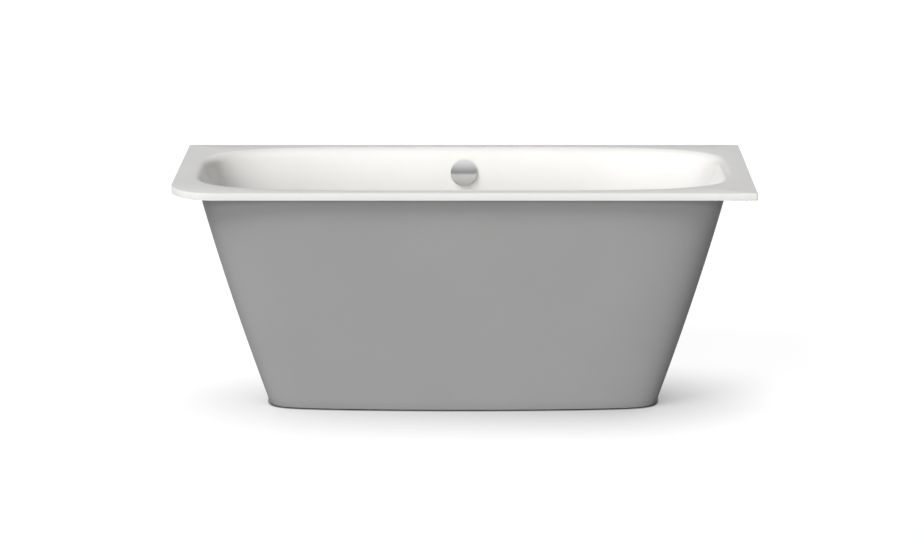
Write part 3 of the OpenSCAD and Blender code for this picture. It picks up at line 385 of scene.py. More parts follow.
@dataclass(frozen=True)
class Moulded(Finish):
    """A moulded plastic with a fine grain, slight clouds and worn, shinier patches."""

    grain_mm: float
    grain_depth_mm: float
    clouds: float
    cloud_mm: float
    gloss: float = 0.5
    grain_share: float = 0.3
    patch_scale: float = 0.6
    patch: float = 0.12

    def paint(self, bench: Bench) -> None:
        """Makes the plastic's colour, grain and gloss.

        Args:
            bench: The material's nodes.
        """
        cloud = bench.noise(self.cloud_mm, detail=3.0).between(0.25, 0.75)
        grain = bench.noise(self.grain_mm, rough=0.6)
        share = cloud * (1 - self.grain_share) + grain * self.grain_share
        worn = bench.noise(self.cloud_mm * self.patch_scale) * self.patch
        bench.close(
            Base_Color=bench.mix(share, *self.tones(1 - self.clouds, 1 + self.clouds)),
            Roughness=self.roughness - self.patch / 2 + worn, Specular_Ior_Level=self.gloss,
            Normal=bench.bump(grain, self.grain_depth_mm),
        )


@dataclass(frozen=True)
class Rubber(Finish):
    """Black rubber with a dusty bloom and fine pores."""

    bloom: Colour = (0.09, 0.09, 0.088)
    bloom_mm: float = 22.0
    bloom_share: float = 0.6
    bloom_dullness: float = 0.12
    pore_mm: float = 0.8
    pore_depth_mm: float = 0.05
    gloss: float = 0.3

    def paint(self, bench: Bench) -> None:
        """Makes the black with its bloom and pores.

        Args:
            bench: The material's nodes.
        """
        dust = bench.noise(self.bloom_mm, detail=4.0, rough=0.6).between(0.45, 0.8)
        pores = bench.noise(self.pore_mm, rough=0.7)
        bench.close(
            Base_Color=bench.mix(dust * self.bloom_share, self.colour, self.bloom),
            Roughness=self.roughness + dust * self.bloom_dullness, Specular_Ior_Level=self.gloss,
            Normal=bench.bump(pores, self.pore_depth_mm),
        )


@dataclass(frozen=True)
class Foam(Finish):
    """Open foam with small cells, painted darker in their hollows as shade in the pores."""

    cell_mm: float = 1.6
    cell_depth_mm: float = 0.5
    darkest: float = 0.35
    lightest: float = 1.5
    dullness: float = 0.05
    swell_mm: float = 4.0
    swell_share: float = 0.3
    gloss: float = 0.2

    def paint(self, bench: Bench) -> None:
        """Makes the cells as depth, and as colour that is darker in their hollows: painted shade.

        Args:
            bench: The material's nodes.
        """
        cell = bench.cells(self.cell_mm).between(0.15, 0.6)
        swell = bench.noise(self.swell_mm)
        height = cell * (1 - self.swell_share) + swell * self.swell_share
        bench.close(
            # The colour is darkest where the bump sinks into a cell: painted shade in the pores.
            Base_Color=bench.mix(cell, *self.tones(self.darkest, self.lightest)),
            Roughness=self.roughness + cell * self.dullness, Specular_Ior_Level=self.gloss,
            Normal=bench.bump(height, self.cell_depth_mm),
        )


@dataclass(frozen=True)
class PressedMat(Finish):
    """A heavy pressed mat with a waffle of small dimples."""

    dimple_mm: float = 7.0
    depth_mm: float = 0.8
    dimple_shine: float = 0.08
    grit_mm: float = 1.2
    grit_share: float = 0.2
    darkest: float = 0.6
    lightest: float = 1.6

    def paint(self, bench: Bench) -> None:
        """Makes the dimples and the greyish grit.

        Args:
            bench: The material's nodes.
        """
        dimple = bench.cells(self.dimple_mm, spread=0.0).between(0.18, 0.42)
        grit = bench.noise(self.grit_mm, detail=3.0, rough=0.7)
        height = dimple * (1 - self.grit_share) + grit * self.grit_share
        bench.close(
            Base_Color=bench.mix(grit, *self.tones(self.darkest, self.lightest)),
            Roughness=self.roughness - dimple * self.dimple_shine,
            Normal=bench.bump(height, self.depth_mm),
        )


@dataclass(frozen=True)
class Galvanised(Finish):
    """Zinc dipped sheet, with its spangle of crystals and a few dull clouds."""

    spangle_mm: float = 9.0
    spangle_dullness: float = 0.14
    cloud_mm: float = 55.0
    cloud_share: float = 0.45
    cloud_dullness: float = 0.1
    darkest: float = 0.72
    lightest: float = 1.18
    ripple_mm: float = 12.0
    ripple_depth_mm: float = 0.05

    def paint(self, bench: Bench) -> None:
        """Makes the crystals' tones, their gloss and the sheet's ripple.

        Args:
            bench: The material's nodes.
        """
        colours = bench.cells(self.spangle_mm, CellOutput.COLOUR)
        crystal = bench.add("ShaderNodeSeparateColor", None, {"Color": colours})
        clouds = bench.noise(self.cloud_mm, detail=4.0, rough=0.6)
        share = crystal * (1 - self.cloud_share) + clouds * self.cloud_share
        dull = crystal * self.spangle_dullness + clouds * self.cloud_dullness
        bench.close(
            Base_Color=bench.mix(share, *self.tones(self.darkest, self.lightest)),
            Metallic=1.0, Roughness=dull + self.roughness,
            Normal=bench.bump(bench.noise(self.ripple_mm, detail=3.0), self.ripple_depth_mm),
        )


@dataclass(frozen=True)
class Turned(Finish):
    """Plain metal with the fine marks of its making, stretched across its length."""

    marks: Point = (1.0, 1.0, 14.0)
    mark_mm: float = 3.0
    mark_depth_mm: float = 0.01
    mark_dullness: float = 0.12
    stain_mm: float = 25.0
    stain_dullness: float = 0.06
    stained: float = 0.85

    def paint(self, bench: Bench) -> None:
        """Makes the marks in gloss and height, and slight stains.

        Args:
            bench: The material's nodes.
        """
        lines = bench.noise(self.mark_mm, detail=3.0, rough=0.6, where=bench.stretched(self.marks))
        stain = bench.noise(self.stain_mm, detail=3.0).between(0.35, 0.75)
        dull = lines * self.mark_dullness + stain * self.stain_dullness
        bench.close(
            Base_Color=bench.mix(stain, *self.tones(1.0, self.stained)),
            Metallic=1.0, Roughness=dull + self.roughness,
            Normal=bench.bump(lines, self.mark_depth_mm),
        )


@dataclass(frozen=True)
class Chromed(Finish):
    """Polished chrome with faint smears and hairlines."""

    smear_mm: float = 9.0
    smear_stretch: Point = (1.0, 1.0, 2.5)
    smear_dullness: float = 0.05
    smeared: float = 0.94
    hair_mm: float = 0.7
    hair_stretch: Point = (9.0, 1.0, 1.0)
    hair_dullness: float = 0.02
    hair_depth_mm: float = 0.0006

    def paint(self, bench: Bench) -> None:
        """Makes the mirror and what dulls it a little.

        Args:
            bench: The material's nodes.
        """
        along, across = bench.stretched(self.smear_stretch), bench.stretched(self.hair_stretch)
        smear = bench.noise(self.smear_mm, detail=3.0, rough=0.6, where=along).between(0.4, 0.8)
        hair = bench.noise(self.hair_mm, rough=0.6, where=across)
        dull = smear * self.smear_dullness + hair * self.hair_dullness
        bench.close(
            Base_Color=bench.mix(smear, *self.tones(1.0, self.smeared)),
            Metallic=1.0, Roughness=dull + self.roughness,
            Normal=bench.bump(hair, self.hair_depth_mm),
        )


ENAMEL = Enamel("white enamel", (0.848, 0.841, 0.818), roughness=0.22)
GROUND_COAT = GroundCoat("ground coat", (0.055, 0.062, 0.075), roughness=0.32)
APRON_GREY = Moulded(
    "apron grey", (0.337, 0.337, 0.336), roughness=0.60, grain_mm=0.8, grain_depth_mm=0.025,
    clouds=0.025, cloud_mm=240.0, gloss=0.15,
)
FOAM = Foam("foam", (0.10, 0.10, 0.103), roughness=0.9)
RUBBER = Rubber("rubber", (0.028, 0.028, 0.029), roughness=0.62)
MAT = PressedMat("damping mat", (0.05, 0.05, 0.054), roughness=0.75)
GALVANISED = Galvanised("galvanised sheet", (0.60, 0.61, 0.62), roughness=0.30)
ZINC = Turned("zinc plate", (0.66, 0.66, 0.64), roughness=0.24)
STAINLESS = Turned("stainless steel", (0.60, 0.59, 0.57), roughness=0.20)
BRASS = Turned("brass", (0.72, 0.50, 0.20), roughness=0.24)
CHROME = Chromed("chrome", (0.96, 0.96, 0.955), roughness=0.07)
FOOT_PLASTIC = Moulded(
    "foot plastic", (0.03, 0.03, 0.031), roughness=0.5, grain_mm=0.7, grain_depth_mm=0.05,
    clouds=0.15, cloud_mm=20.0,
)
CLIP_PLASTIC = Moulded(
    "clip plastic", (0.035, 0.035, 0.036), roughness=0.42, grain_mm=0.7, grain_depth_mm=0.03,
    clouds=0.12, cloud_mm=15.0,
)
GREY_PLASTIC = Moulded(
    "grey plastic", (0.17, 0.175, 0.18), roughness=0.45, grain_mm=0.6, grain_depth_mm=0.03,
    clouds=0.07, cloud_mm=30.0,
)
WHITE_PLASTIC = Moulded(
    "white plastic", (0.80, 0.80, 0.775), roughness=0.24, grain_mm=1.4, grain_depth_mm=0.008,
    clouds=0.025, cloud_mm=50.0,
)
HOSE_PLASTIC = Moulded(
    "hose plastic", (0.62, 0.62, 0.595), roughness=0.38, grain_mm=1.2, grain_depth_mm=0.02,
    clouds=0.05, cloud_mm=30.0,
)
CABLE_SLEEVE = Moulded(
    "cable sleeve", (0.022, 0.022, 0.023), roughness=0.36, grain_mm=0.6, grain_depth_mm=0.01,
    clouds=0.1, cloud_mm=12.0,
)


# Meshes

# A turned profile starts at the first radius, and within the second it counts as on the axis.
ON_AXIS, NEAR_AXIS = 0.01, 0.02
# Points that lie closer than this, in metres, are joined.
WELD_NEW, WELD_PACKED = 0.000002, 0.000001
# The angles in degrees above which an edge stays sharp.
PLAIN_CREASE, METAL_CREASE, SHEET_CREASE, HOSE_CREASE = 35.0, 40.0, 50.0, 60.0
# The middle point of a round lies this share of its size in from both faces.
MID_ROUND = 0.3
FINE_SIDES = 128


@dataclass
class Skin:
    """Points and faces of one piece, gathered in millimetres."""

    points: list[Point] = field(default_factory=list)
    faces: list[tuple[int, ...]] = field(default_factory=list)
    marks: list[int] = field(default_factory=list)

    def grid(self, rows: Sequence[Sequence[Point]], mark: int = 0, open_rows: bool = True) -> None:
        """Adds a skin through rows that each close round.

        Args:
            rows: The rows, with equal counts of points.
            mark: The number of the material of its faces.
            open_rows: Whether the last row is left apart from the first.
        """
        start = len(self.points)
        around = len(rows[0])
        for row in rows:
            self.points.extend(row)
        last = len(rows) - 1 if open_rows else len(rows)
        for j in range(last):
            low, high = start + j * around, start + (j + 1) % len(rows) * around
            for i in range(around):
                n = (i + 1) % around
                self.faces.append((low + i, low + n, high + n, high + i))
                self.marks.append(mark)

    def cap(self, row: Sequence[Point], mark: int = 0) -> None:
        """Closes a row with one face, in the row's own turn.

        Args:
            row: The row's points.
            mark: The number of the face's material.
        """
        start = len(self.points)
        self.points.extend(row)
        self.faces.append(tuple(range(start, start + len(row))))
        self.marks.append(mark)

    def piece(
        self, name: str, finishes: Sequence[Finish], crease: float = PLAIN_CREASE,
        frame_of: Matrix | None = None,
    ) -> bpy.types.Object:
        """Makes the object.

        Args:
            name: Its name.
            finishes: The finishes of its faces' marks.
            crease: The angle in degrees above which an edge stays sharp.
            frame_of: The frame of its points, in metres, or the model's own.

        Returns:
            The new object.
        """
        mesh = bpy.data.meshes.new(name)
        mesh.from_pydata([tuple(c * MM for c in p) for p in self.points], [], self.faces)
        if frame_of is not None:
            mesh.transform(frame_of)
        for finish in finishes:
            mesh.materials.append(finish.material())
        mesh.polygons.foreach_set("material_index", self.marks)
        work = bmesh.new()
        work.from_mesh(mesh)
        bmesh.ops.remove_doubles(work, verts=work.verts, dist=WELD_NEW)
        bmesh.ops.recalc_face_normals(work, faces=work.faces)
        work.to_mesh(mesh)
        work.free()
        mesh.shade_smooth()
        mesh.set_sharp_from_angle(angle=math.radians(crease))
        made = bpy.data.objects.new(name, mesh)
        bpy.context.scene.collection.objects.link(made)
        return made


def baked(piece: bpy.types.Object, crease: float = PLAIN_CREASE) -> None:
    """Applies a piece's modifiers to its mesh.

    Args:
        piece: The piece.
        crease: The angle in degrees above which an edge stays sharp.
    """
    graph = bpy.context.evaluated_depsgraph_get()
    mesh = bpy.data.meshes.new_from_object(piece.evaluated_get(graph))
    piece.modifiers.clear()
    piece.data = mesh
    mesh.shade_smooth()
    mesh.set_sharp_from_angle(angle=math.radians(crease))


def lathe_rows(profile: Sequence[Flat], sides: int) -> list[list[Point]]:
    """Turns a profile's points into rings about the Z axis."""
    turns = [math.tau * i / sides for i in range(sides)]
    return [[(r * math.cos(turn), r * math.sin(turn), z) for turn in turns] for r, z in profile]


def lathe(profile: Sequence[Flat], sides: int = 96) -> Skin:
    """Turns a profile about the Z axis.

    Args:
        profile: Points of radius and height in millimetres, closed from last to first where
            both lie off the axis.
        sides: How many steps go round.

    Returns:
        The turned skin.
    """
    skin = Skin()
    rows = lathe_rows(profile, sides)
    ends = ((rows[0], profile[0][0]), (rows[-1], profile[-1][0]))
    skin.grid(rows, open_rows=any(radius < NEAR_AXIS for _, radius in ends))
    for row, radius in ends:
        if 0 < radius < NEAR_AXIS:
            skin.cap(row)
    return skin


def rounded(a: Flat, corner: Flat, b: Flat, radius: float, steps: int = 5) -> list[Flat]:
    """Points of a round laid into a corner of a profile.

    Args:
        a: The point before the corner.
        corner: The corner.
        b: The point after it.
        radius: The round's reach along both legs.
        steps: How many steps it has.

    Returns:
        The points from the one leg to the other.
    """
    first = Vector(corner) + (Vector(a) - Vector(corner)).normalized() * radius
    last = Vector(corner) + (Vector(b) - Vector(corner)).normalized() * radius
    points = []
    for i in range(steps + 1):
        t = i / steps
        p = first * (1 - t) ** 2 + Vector(corner) * 2 * t * (1 - t) + last * t * t
        points.append((p.x, p.y))
    return points


def signed_power(value: float, power: float) -> float:
    """A power that keeps the sign."""
    return math.copysign(abs(value) ** power, value)


def report(piece: bpy.types.Object, body: Body, slot: Slot, *nodes: str) -> bpy.types.Object:
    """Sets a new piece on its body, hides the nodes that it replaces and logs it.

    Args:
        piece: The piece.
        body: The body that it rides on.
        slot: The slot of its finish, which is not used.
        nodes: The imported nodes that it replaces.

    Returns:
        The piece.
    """
    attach(piece, body.value)
    if nodes:
        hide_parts(*nodes)
    LOG.info("%s: %d faces, rides on %s", piece.name, len(piece.data.polygons), body.value)
    return piece


def dress_node(name: str, finish: Finish) -> None:
    """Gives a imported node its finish.

    Args:
        name: The node's name.
        finish: The finish for all of it.
    """
    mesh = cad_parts[name].data
    if not mesh.materials:
        mesh.materials.append(None)
    for index in range(len(mesh.materials)):
        mesh.materials[index] = finish.material()
    LOG.info("%s: %s", name, finish.name)


def softened(
    node: str, finish: Finish, slot: Slot, body: Body, edge_mm: float, edge_steps: int = 3,
    flat_turn: float = 1.0, edge_turn: float = 40.0,
) -> bpy.types.Object:
    """Replaces a packed soft node with a copy whose edges are rounded.

    Args:
        node: The node's name.
        finish: The finish for all of it.
        slot: The slot of that finish.
        body: The body that it rides on.
        edge_mm: The width of the rounds.
        edge_steps: How many steps a round has.
        flat_turn: The angle in degrees below which two faces become one.
        edge_turn: The angle in degrees above which an edge is rounded.

    Returns:
        The piece.
    """
    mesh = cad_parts[node].data.copy()
    mesh.materials.clear()
    mesh.materials.append(finish.material())
    work = bmesh.new()
    work.from_mesh(mesh)
    bmesh.ops.remove_doubles(work, verts=work.verts, dist=WELD_PACKED)
    bmesh.ops.dissolve_limit(
        work, angle_limit=math.radians(flat_turn), verts=work.verts, edges=work.edges)
    work.to_mesh(mesh)
    work.free()
    mesh.polygons.foreach_set("material_index", [0] * len(mesh.polygons))
    piece = bpy.data.objects.new(f"{node}_soft", mesh)
    bpy.context.scene.collection.objects.link(piece)
    bevel = piece.modifiers.new("round", "BEVEL")
    bevel.width = edge_mm * MM
    bevel.segments = edge_steps
    bevel.limit_method = "ANGLE"
    bevel.angle_limit = math.radians(edge_turn)
    bevel.use_clamp_overlap = True
    baked(piece, SHEET_CREASE)
    return report(piece, body, slot, node)


# The tub


@dataclass
class Shell:
    """The enamelled shell: a flat rim with a lip turned down, and the basin in it."""

    length: float = 1600.0
    width: float = 700.0
    height: float = 625.0
    lip: float = 20.0
    open_corner: float = 130.0
    wall_corner: float = 5.0
    least_corner: float = 0.5
    edge: float = 1.5
    inner_edge: float = 1.0
    edge_steps: int = 6
    sheet: float = 3.0
    front_margin: float = 39.0
    back_margin: float = 28.0
    end_margin: float = 48.0
    depth: float = 440.0
    mouth_power: float = 4.2
    floor_power: float = 3.2
    end_slope: float = 27.0
    side_slope: float = 10.0
    roll: float = 28.0
    fillet: float = 90.0
    crease_turn: float = 78.0
    crease_reach: float = 60.0
    hole: float = 26.0
    hole_foot: float = -9.0
    hole_top: float = 7.0
    steps: int = 44
    corner_steps: int = 8
    least_turn: float = 0.002
    turn_step: int = 5
    wall_steps: int = 12
    floor_shares: tuple[float, ...] = (0.02, 0.3, 0.55, 0.75, 0.9)

    @property
    def centre_y(self) -> float:
        """The basin's middle across the tub."""
        return (self.front_margin - self.back_margin) / 2

    def wall_run(self, slope: float) -> float:
        """How far in a wall comes from the mouth to the flat floor.

        Args:
            slope: The wall's slope in degrees.

        Returns:
            The run in millimetres.
        """
        turn = math.radians(slope)
        curve = self.roll + self.fillet
        return ((self.depth - curve) * math.sin(turn) + curve) / math.cos(turn)

    def run_at(self, d: float, slope: float, offset: float) -> float:
        """How far in the wall has come at a depth.

        Args:
            d: The depth under the rim.
            slope: The wall's slope in degrees.
            offset: 0 on the water's side, the sheet's thickness on the other.

        Returns:
            The run from the mouth's edge.
        """
        turn = math.radians(slope)
        roll, fillet = self.roll - offset, self.fillet + offset
        roll_end = self.roll - roll * math.sin(turn)
        centre = self.depth - self.fillet
        crease = self.roll - roll * math.cos(math.radians(self.crease_turn))
        if slope > 90 - self.crease_turn and roll_end < d < self.crease_reach:
            top = roll * math.sin(math.radians(self.crease_turn))
            foot = roll * math.cos(turn) + (self.crease_reach - roll_end) * math.tan(turn)
            share = (d - crease) / (self.crease_reach - crease)
            return max(
                math.sqrt(max(roll * roll - (self.roll - d) ** 2, 0.0)) if d <= crease else 0.0,
                top + (foot - top) * share if d > crease else 0.0,
            )
        if d <= roll_end:
            return math.sqrt(max(roll * roll - (self.roll - d) ** 2, 0.0))
        if d >= centre + fillet * math.sin(turn):
            return self.wall_run(slope) - math.sqrt(max(fillet * fillet - (d - centre) ** 2, 0.0))
        return roll * math.cos(turn) + (d - roll_end) * math.tan(turn)

    def depths(self, offset: float) -> list[float]:
        """The depths of the level lines on one side of the sheet.

        Args:
            offset: As in run_at.

        Returns:
            The depths down the roll, then the wall, then the fillet.
        """
        roll, fillet = self.roll - offset, self.fillet + offset
        centre = self.depth - self.fillet
        steep = round(self.side_slope)
        turns = sorted({
            *range(0, 90 - steep + 1, self.turn_step), 90 - self.end_slope, 90 - self.side_slope})
        first = self.roll - roll * math.sin(math.radians(self.side_slope))
        last = centre + fillet * math.sin(math.radians(self.side_slope))
        falls = sorted({*range(steep, 90 + 1, self.turn_step), self.end_slope})
        return (
            [self.roll - roll * math.cos(math.radians(t)) for t in turns]
            + [first + (last - first) * i / self.wall_steps for i in range(1, self.wall_steps)]
            + [centre + fillet * math.sin(math.radians(t)) for t in falls]
        )

    def level(self, t: float, d: float, offset: float, shrink: float = 1.0) -> Point:
        """A point of a level line.

        Args:
            t: The angle round the basin, in radians.
            d: The depth under the rim.
            offset: As in run_at.
            shrink: A factor towards the middle.

        Returns:
            The point in millimetres.
        """
        share = min(max(d / self.depth, 0.0), 1.0)
        power = 2 / (self.mouth_power + (self.floor_power - self.mouth_power) * share)
        half_x = self.length / 2 - self.end_margin - self.run_at(d, self.end_slope, offset)
        half_y = (
            self.width / 2 - (self.front_margin + self.back_margin) / 2
            - self.run_at(d, self.side_slope, offset)
        )
        return (
            shrink * half_x * signed_power(math.cos(t), power),
            shrink * half_y * signed_power(math.sin(t), power) + self.centre_y,
            self.height - d,
        )

    def corner_span(self, a: float, b: float, r: float) -> tuple[float, float]:
        """The angles between which a corner of radius r lies."""
        half = self.mouth_power / 2
        return math.atan(((b - r) / b) ** half), math.pi / 2 - math.atan(((a - r) / a) ** half)

    def rim_point(self, t: float, inset: float, z: float) -> Point:
        """A point of the rim's outline.

        Args:
            t: The angle round the basin, in radians.
            inset: How far the outline is drawn in.
            z: The point's height.

        Returns:
            The point in millimetres.
        """
        turned = t % math.tau
        open_corner = math.pi < turned < 1.5 * math.pi
        corner = self.open_corner if open_corner else self.wall_corner
        r = max(corner - inset, self.least_corner)
        a, b = self.length / 2 - inset, self.width / 2 - inset
        first = math.atan2(abs(math.sin(t)), abs(math.cos(t)))
        start, end = self.corner_span(a, b, r)
        root = 2 / self.mouth_power
        if first < start:
            x, y = a, b * math.tan(first) ** root
        elif first > end:
            x, y = a * (math.cos(first) / math.sin(first)) ** root, b
        else:
            turn = math.pi / 2 * (first - start) / (end - start)
            x, y = a - r + r * math.cos(turn), b - r + r * math.sin(turn)
        return (math.copysign(x, math.cos(t)), math.copysign(y, math.sin(t)), z)

    def angles(self) -> list[float]:
        """Angles round the basin, spread evenly along its sides and closer in the corners.

        Returns:
            The angles in radians, all the way round.
        """
        half = self.mouth_power / 2
        reach = math.sin(math.pi / 4) ** (1 / half)
        rising = [math.asin((reach * i / self.steps) ** half) for i in range(self.steps)]
        start, end = self.corner_span(self.length / 2, self.width / 2, self.wall_corner)
        near, steps = self.least_turn, self.corner_steps
        corner = [start + (end - start) * i / steps for i in range(steps + 1)]
        quarter = [t for t in rising if t < start - near] + corner
        quarter += [math.pi / 2 - t for t in reversed(rising) if math.pi / 2 - t > end + near]
        falling = [math.pi - t for t in reversed(quarter)]
        upper = quarter + falling[1:-1]
        return upper + [t + math.pi for t in [0.0, *quarter[1:], *falling[1:-1]]]

    def build(self) -> None:
        """Makes the shell with its two holes and sets it on the tub."""
        ring = self.angles()
        edge, inner = self.edge, self.inner_edge
        rows: list[list[Point]] = []
        marks: list[int] = []

        def put(row: Callable[[float], Point], mark: int = 0) -> None:
            """Adds the next row, on the way from the floor up and round to the underside."""
            rows.append([row(t) for t in ring])
            marks.append(mark)

        for s in self.floor_shares:
            put(lambda t: self.level(t, self.depth, 0.0, s))
        for d in reversed(self.depths(0.0)):
            put(lambda t: self.level(t, d, 0.0))
        for i in range(self.edge_steps + 1):
            turn = math.radians(90 / self.edge_steps * i)
            put(lambda t: self.rim_point(
                t, edge * (1 - math.sin(turn)), self.height - edge * (1 - math.cos(turn))))
        foot = self.height - self.lip
        put(lambda t: self.rim_point(t, 0.0, foot + inner))
        put(lambda t: self.rim_point(t, inner * MID_ROUND, foot + inner * MID_ROUND))
        put(lambda t: self.rim_point(t, inner, foot), 1)
        put(lambda t: self.rim_point(t, self.sheet, foot), 1)
        put(lambda t: self.rim_point(t, self.sheet, self.height - self.sheet), 1)
        for d in self.depths(self.sheet):
            put(lambda t: self.level(t, d, self.sheet), 1)
        for s in reversed(self.floor_shares):
            put(lambda t: self.level(t, self.depth + self.sheet, self.sheet, s), 1)
        skin = Skin()
        for low, high, mark in zip(rows, rows[1:], marks):
            skin.grid([low, high], mark)
        skin.cap(rows[0], 0)
        skin.cap(rows[-1], 1)
        piece = skin.piece("shell", (ENAMEL, GROUND_COAT))
        for name, place in (("overflow_cut", OVERFLOW_FRAME), ("waste_cut", WASTE_FRAME)):
            self.cut(piece, name, place)
        report(piece, Body.TUB, Slot.ENAMEL, "tub_shell")

    def cut(self, piece: bpy.types.Object, name: str, place: Matrix) -> None:
        """Cuts one round hole through the sheet.

        Args:
            piece: The shell.
            name: The name of the cutter, which doesn't stay.
            place: The hole's frame, in metres.
        """
        low, high = self.hole_foot, self.hole_top
        cutter = lathe([(ON_AXIS, low), (self.hole, low), (self.hole, high), (ON_AXIS, high)])
        tool = cutter.piece(name, (ENAMEL,), frame_of=place)
        change = piece.modifiers.new(name, "BOOLEAN")
        change.operation = "DIFFERENCE"
        change.solver = "EXACT"
        change.object = tool
        bpy.context.view_layer.update()
        baked(piece)
        bpy.data.objects.remove(tool)


@dataclass
class Apron:
    """The matt apron: wider at its top, bowed and squarer at its foot, with foam over it."""

    half_length: float = 800.0
    half_width: float = 350.0
    end_top: float = 66.0
    end_foot: float = 259.0
    front_top: float = 31.0
    front_foot: float = 52.0
    bulge: float = 5.5
    top_power: float = 6.2
    foot_power: float = 12.0
    bow: float = 27.0
    thickness: float = 4.0
    top: float = 607.0
    foot: float = 3.0
    back: float = 345.0
    edge: float = 0.9
    strip_inset: float = 0.6
    strip_floor: float = 1.2
    strip_edge: float = 0.5
    strip_gap: float = 0.02
    corner_steps: int = 30
    straight_steps: int = 10
    level_steps: int = 24
    return_shares: tuple[float, ...] = (1.0, 0.8, 0.6, 0.4, 0.2)

    def reach(self, z: float) -> Flat:
        """How far the face stands out at a height.

        Args:
            z: The height.

        Returns:
            The half-length and the depth.
        """
        s = z / self.top
        length = (
            self.half_length - self.end_foot + (self.end_foot - self.end_top) * s
            + 4 * self.bulge * s * (1 - s)
        )
        return length, self.half_width - self.front_foot + (self.front_foot - self.front_top) * s

    def angles(self) -> list[float]:
        """Angles along the apron's plan, from its left end to its right end.

        Returns:
            The angles in radians.
        """
        half = self.foot_power / 2
        shares = [0.5 * i / self.straight_steps for i in range(self.straight_steps + 1)]
        rising = [math.asin(share ** half) for share in shares]
        rising += [math.pi / 4 * i / self.corner_steps for i in range(1, self.corner_steps + 1)]
        quarter = rising + [math.pi / 2 - t for t in reversed(rising[:-1])]
        return [math.pi + t for t in quarter] + [math.tau - t for t in reversed(quarter[:-1])]

    def line(self, z: float, inset: float) -> list[Point]:
        """The plan line at a height, with its straight returns to the wall.

        Args:
            z: The height.
            inset: How far the line is drawn in.

        Returns:
            The points from the left return to the right one.
        """
        length, deep = self.reach(z)
        rise = z / self.top
        root = 2 / (self.foot_power + (self.top_power - self.foot_power) * rise)
        bow = self.bow * (1 - rise)
        curve = []
        for t in self.angles():
            along, across = signed_power(math.cos(t), root), signed_power(math.sin(t), root)
            curve.append(((length - inset) * along, (deep - inset) * across + bow * along ** 2, z))
        left = [(curve[0][0], self.back * s, z) for s in self.return_shares]
        right = [(curve[-1][0], self.back * s, z) for s in reversed(self.return_shares)]
        return left + curve + right

    def along(self, section: Sequence[Flat]) -> Skin:
        """A skin of one section along the apron's plan line.

        Args:
            section: The heights and insets of the section's points, all round it.

        Returns:
            The skin, closed at its two ends.
        """
        lines = [self.line(z, inset) for z, inset in section]
        columns = [[line[i] for line in lines] for i in range(len(lines[0]))]
        skin = Skin()
        skin.grid(columns)
        skin.cap(columns[0])
        skin.cap(columns[-1])
        return skin

    def build(self) -> None:
        """Makes the apron and sets it on the tub."""
        foot, top, e, t = self.foot, self.top, self.edge, self.thickness
        mid = MID_ROUND * e
        rise = (top - foot - 2 * e) / self.level_steps
        levels = [foot + e + rise * i for i in range(self.level_steps + 1)]
        section = [(z, 0.0) for z in levels]
        section += [(top - mid, mid), (top, e), (top, t - e), (top - mid, t - mid)]
        section += [(z, t) for z in reversed(levels)]
        section += [(foot + mid, t - mid), (foot, t - e), (foot, e), (foot + mid, mid)]
        skin = self.along(section).piece("apron_skin", (APRON_GREY,), SHEET_CREASE)
        report(skin, Body.TUB, Slot.APRON, "apron")

    def build_foot_shadow_strip(self) -> None:
        """Makes the thin rubber strip under the apron's foot, whose black stands in for the shadow
        in the gap there: painted shade.
        """
        outer, inner = self.strip_inset, self.thickness - self.strip_inset
        low, high, e = self.strip_floor, self.foot - self.strip_gap, self.strip_edge
        section = [
            (high, inner), (high, outer), (low + e, outer), (low, outer + e),
            (low, inner - e), (low + e, inner),
        ]
        # A dark piece where the gap under the apron's foot would lie in shadow: painted shade.
        strip = self.along(section).piece("apron_foot_shadow_strip", (RUBBER,), SHEET_CREASE)
        report(strip, Body.TUB, Slot.RUBBER)

    def dress(self) -> None:
        """Softens the strips round the apron and finishes what holds it."""
        softened("apron_seal", FOAM, Slot.FOAM, Body.TUB, edge_mm=1.0)
        softened("apron_pads", RUBBER, Slot.RUBBER, Body.TUB, edge_mm=0.3)
        for node in ("apron_clips", "floor_brackets"):
            dress_node(node, GALVANISED)


@dataclass
class Undercarriage:
    """The rails with their feet, the rubber under the shell, the mats and the earth tab."""

    feet: tuple[str, ...] = ("front_left", "front_right", "back_left", "back_right")

    def dress(self) -> None:
        """Finishes each piece under the basin."""
        for node in ("rail_left", "rail_right", "earth_lug"):
            dress_node(node, GALVANISED)
        dress_node("lock_nuts", ZINC)
        dress_node("earth_bolt", BRASS)
        for foot in self.feet:
            dress_node(f"foot_stud_{foot}", ZINC)
            dress_node(f"foot_pad_{foot}", FOOT_PLASTIC)
        softened("rail_pads", RUBBER, Slot.RUBBER, Body.TUB, edge_mm=0.6)
        softened("damping_mats", MAT, Slot.MAT, Body.TUB, edge_mm=0.8)


@dataclass
class WallHolders:
    """The brackets that hold the rim to the walls, with their rubber caps."""

    brackets: tuple[str, ...] = ("wall_bracket_left", "wall_bracket_right", "end_bracket")

    def dress(self) -> None:
        """Finishes the brackets and softens their caps."""
        for node in self.brackets:
            dress_node(node, GALVANISED)
        softened("bracket_caps", RUBBER, Slot.RUBBER, Body.TUB, edge_mm=0.8)


# The overflow and the waste

BACK_SLOPE = 10.0
OVERFLOW_Y, OVERFLOW_Z = 286.162, 555.0
OVERFLOW_FRAME = Matrix.Translation((0.0, OVERFLOW_Y * MM, OVERFLOW_Z * MM)) @ Matrix.Rotation(
    math.radians(90.0 - BACK_SLOPE), 4, "X"
)
WASTE_Y, WASTE_Z = 65.5, 185.0
WASTE_FRAME = Matrix.Translation((0.0, WASTE_Y * MM, WASTE_Z * MM))


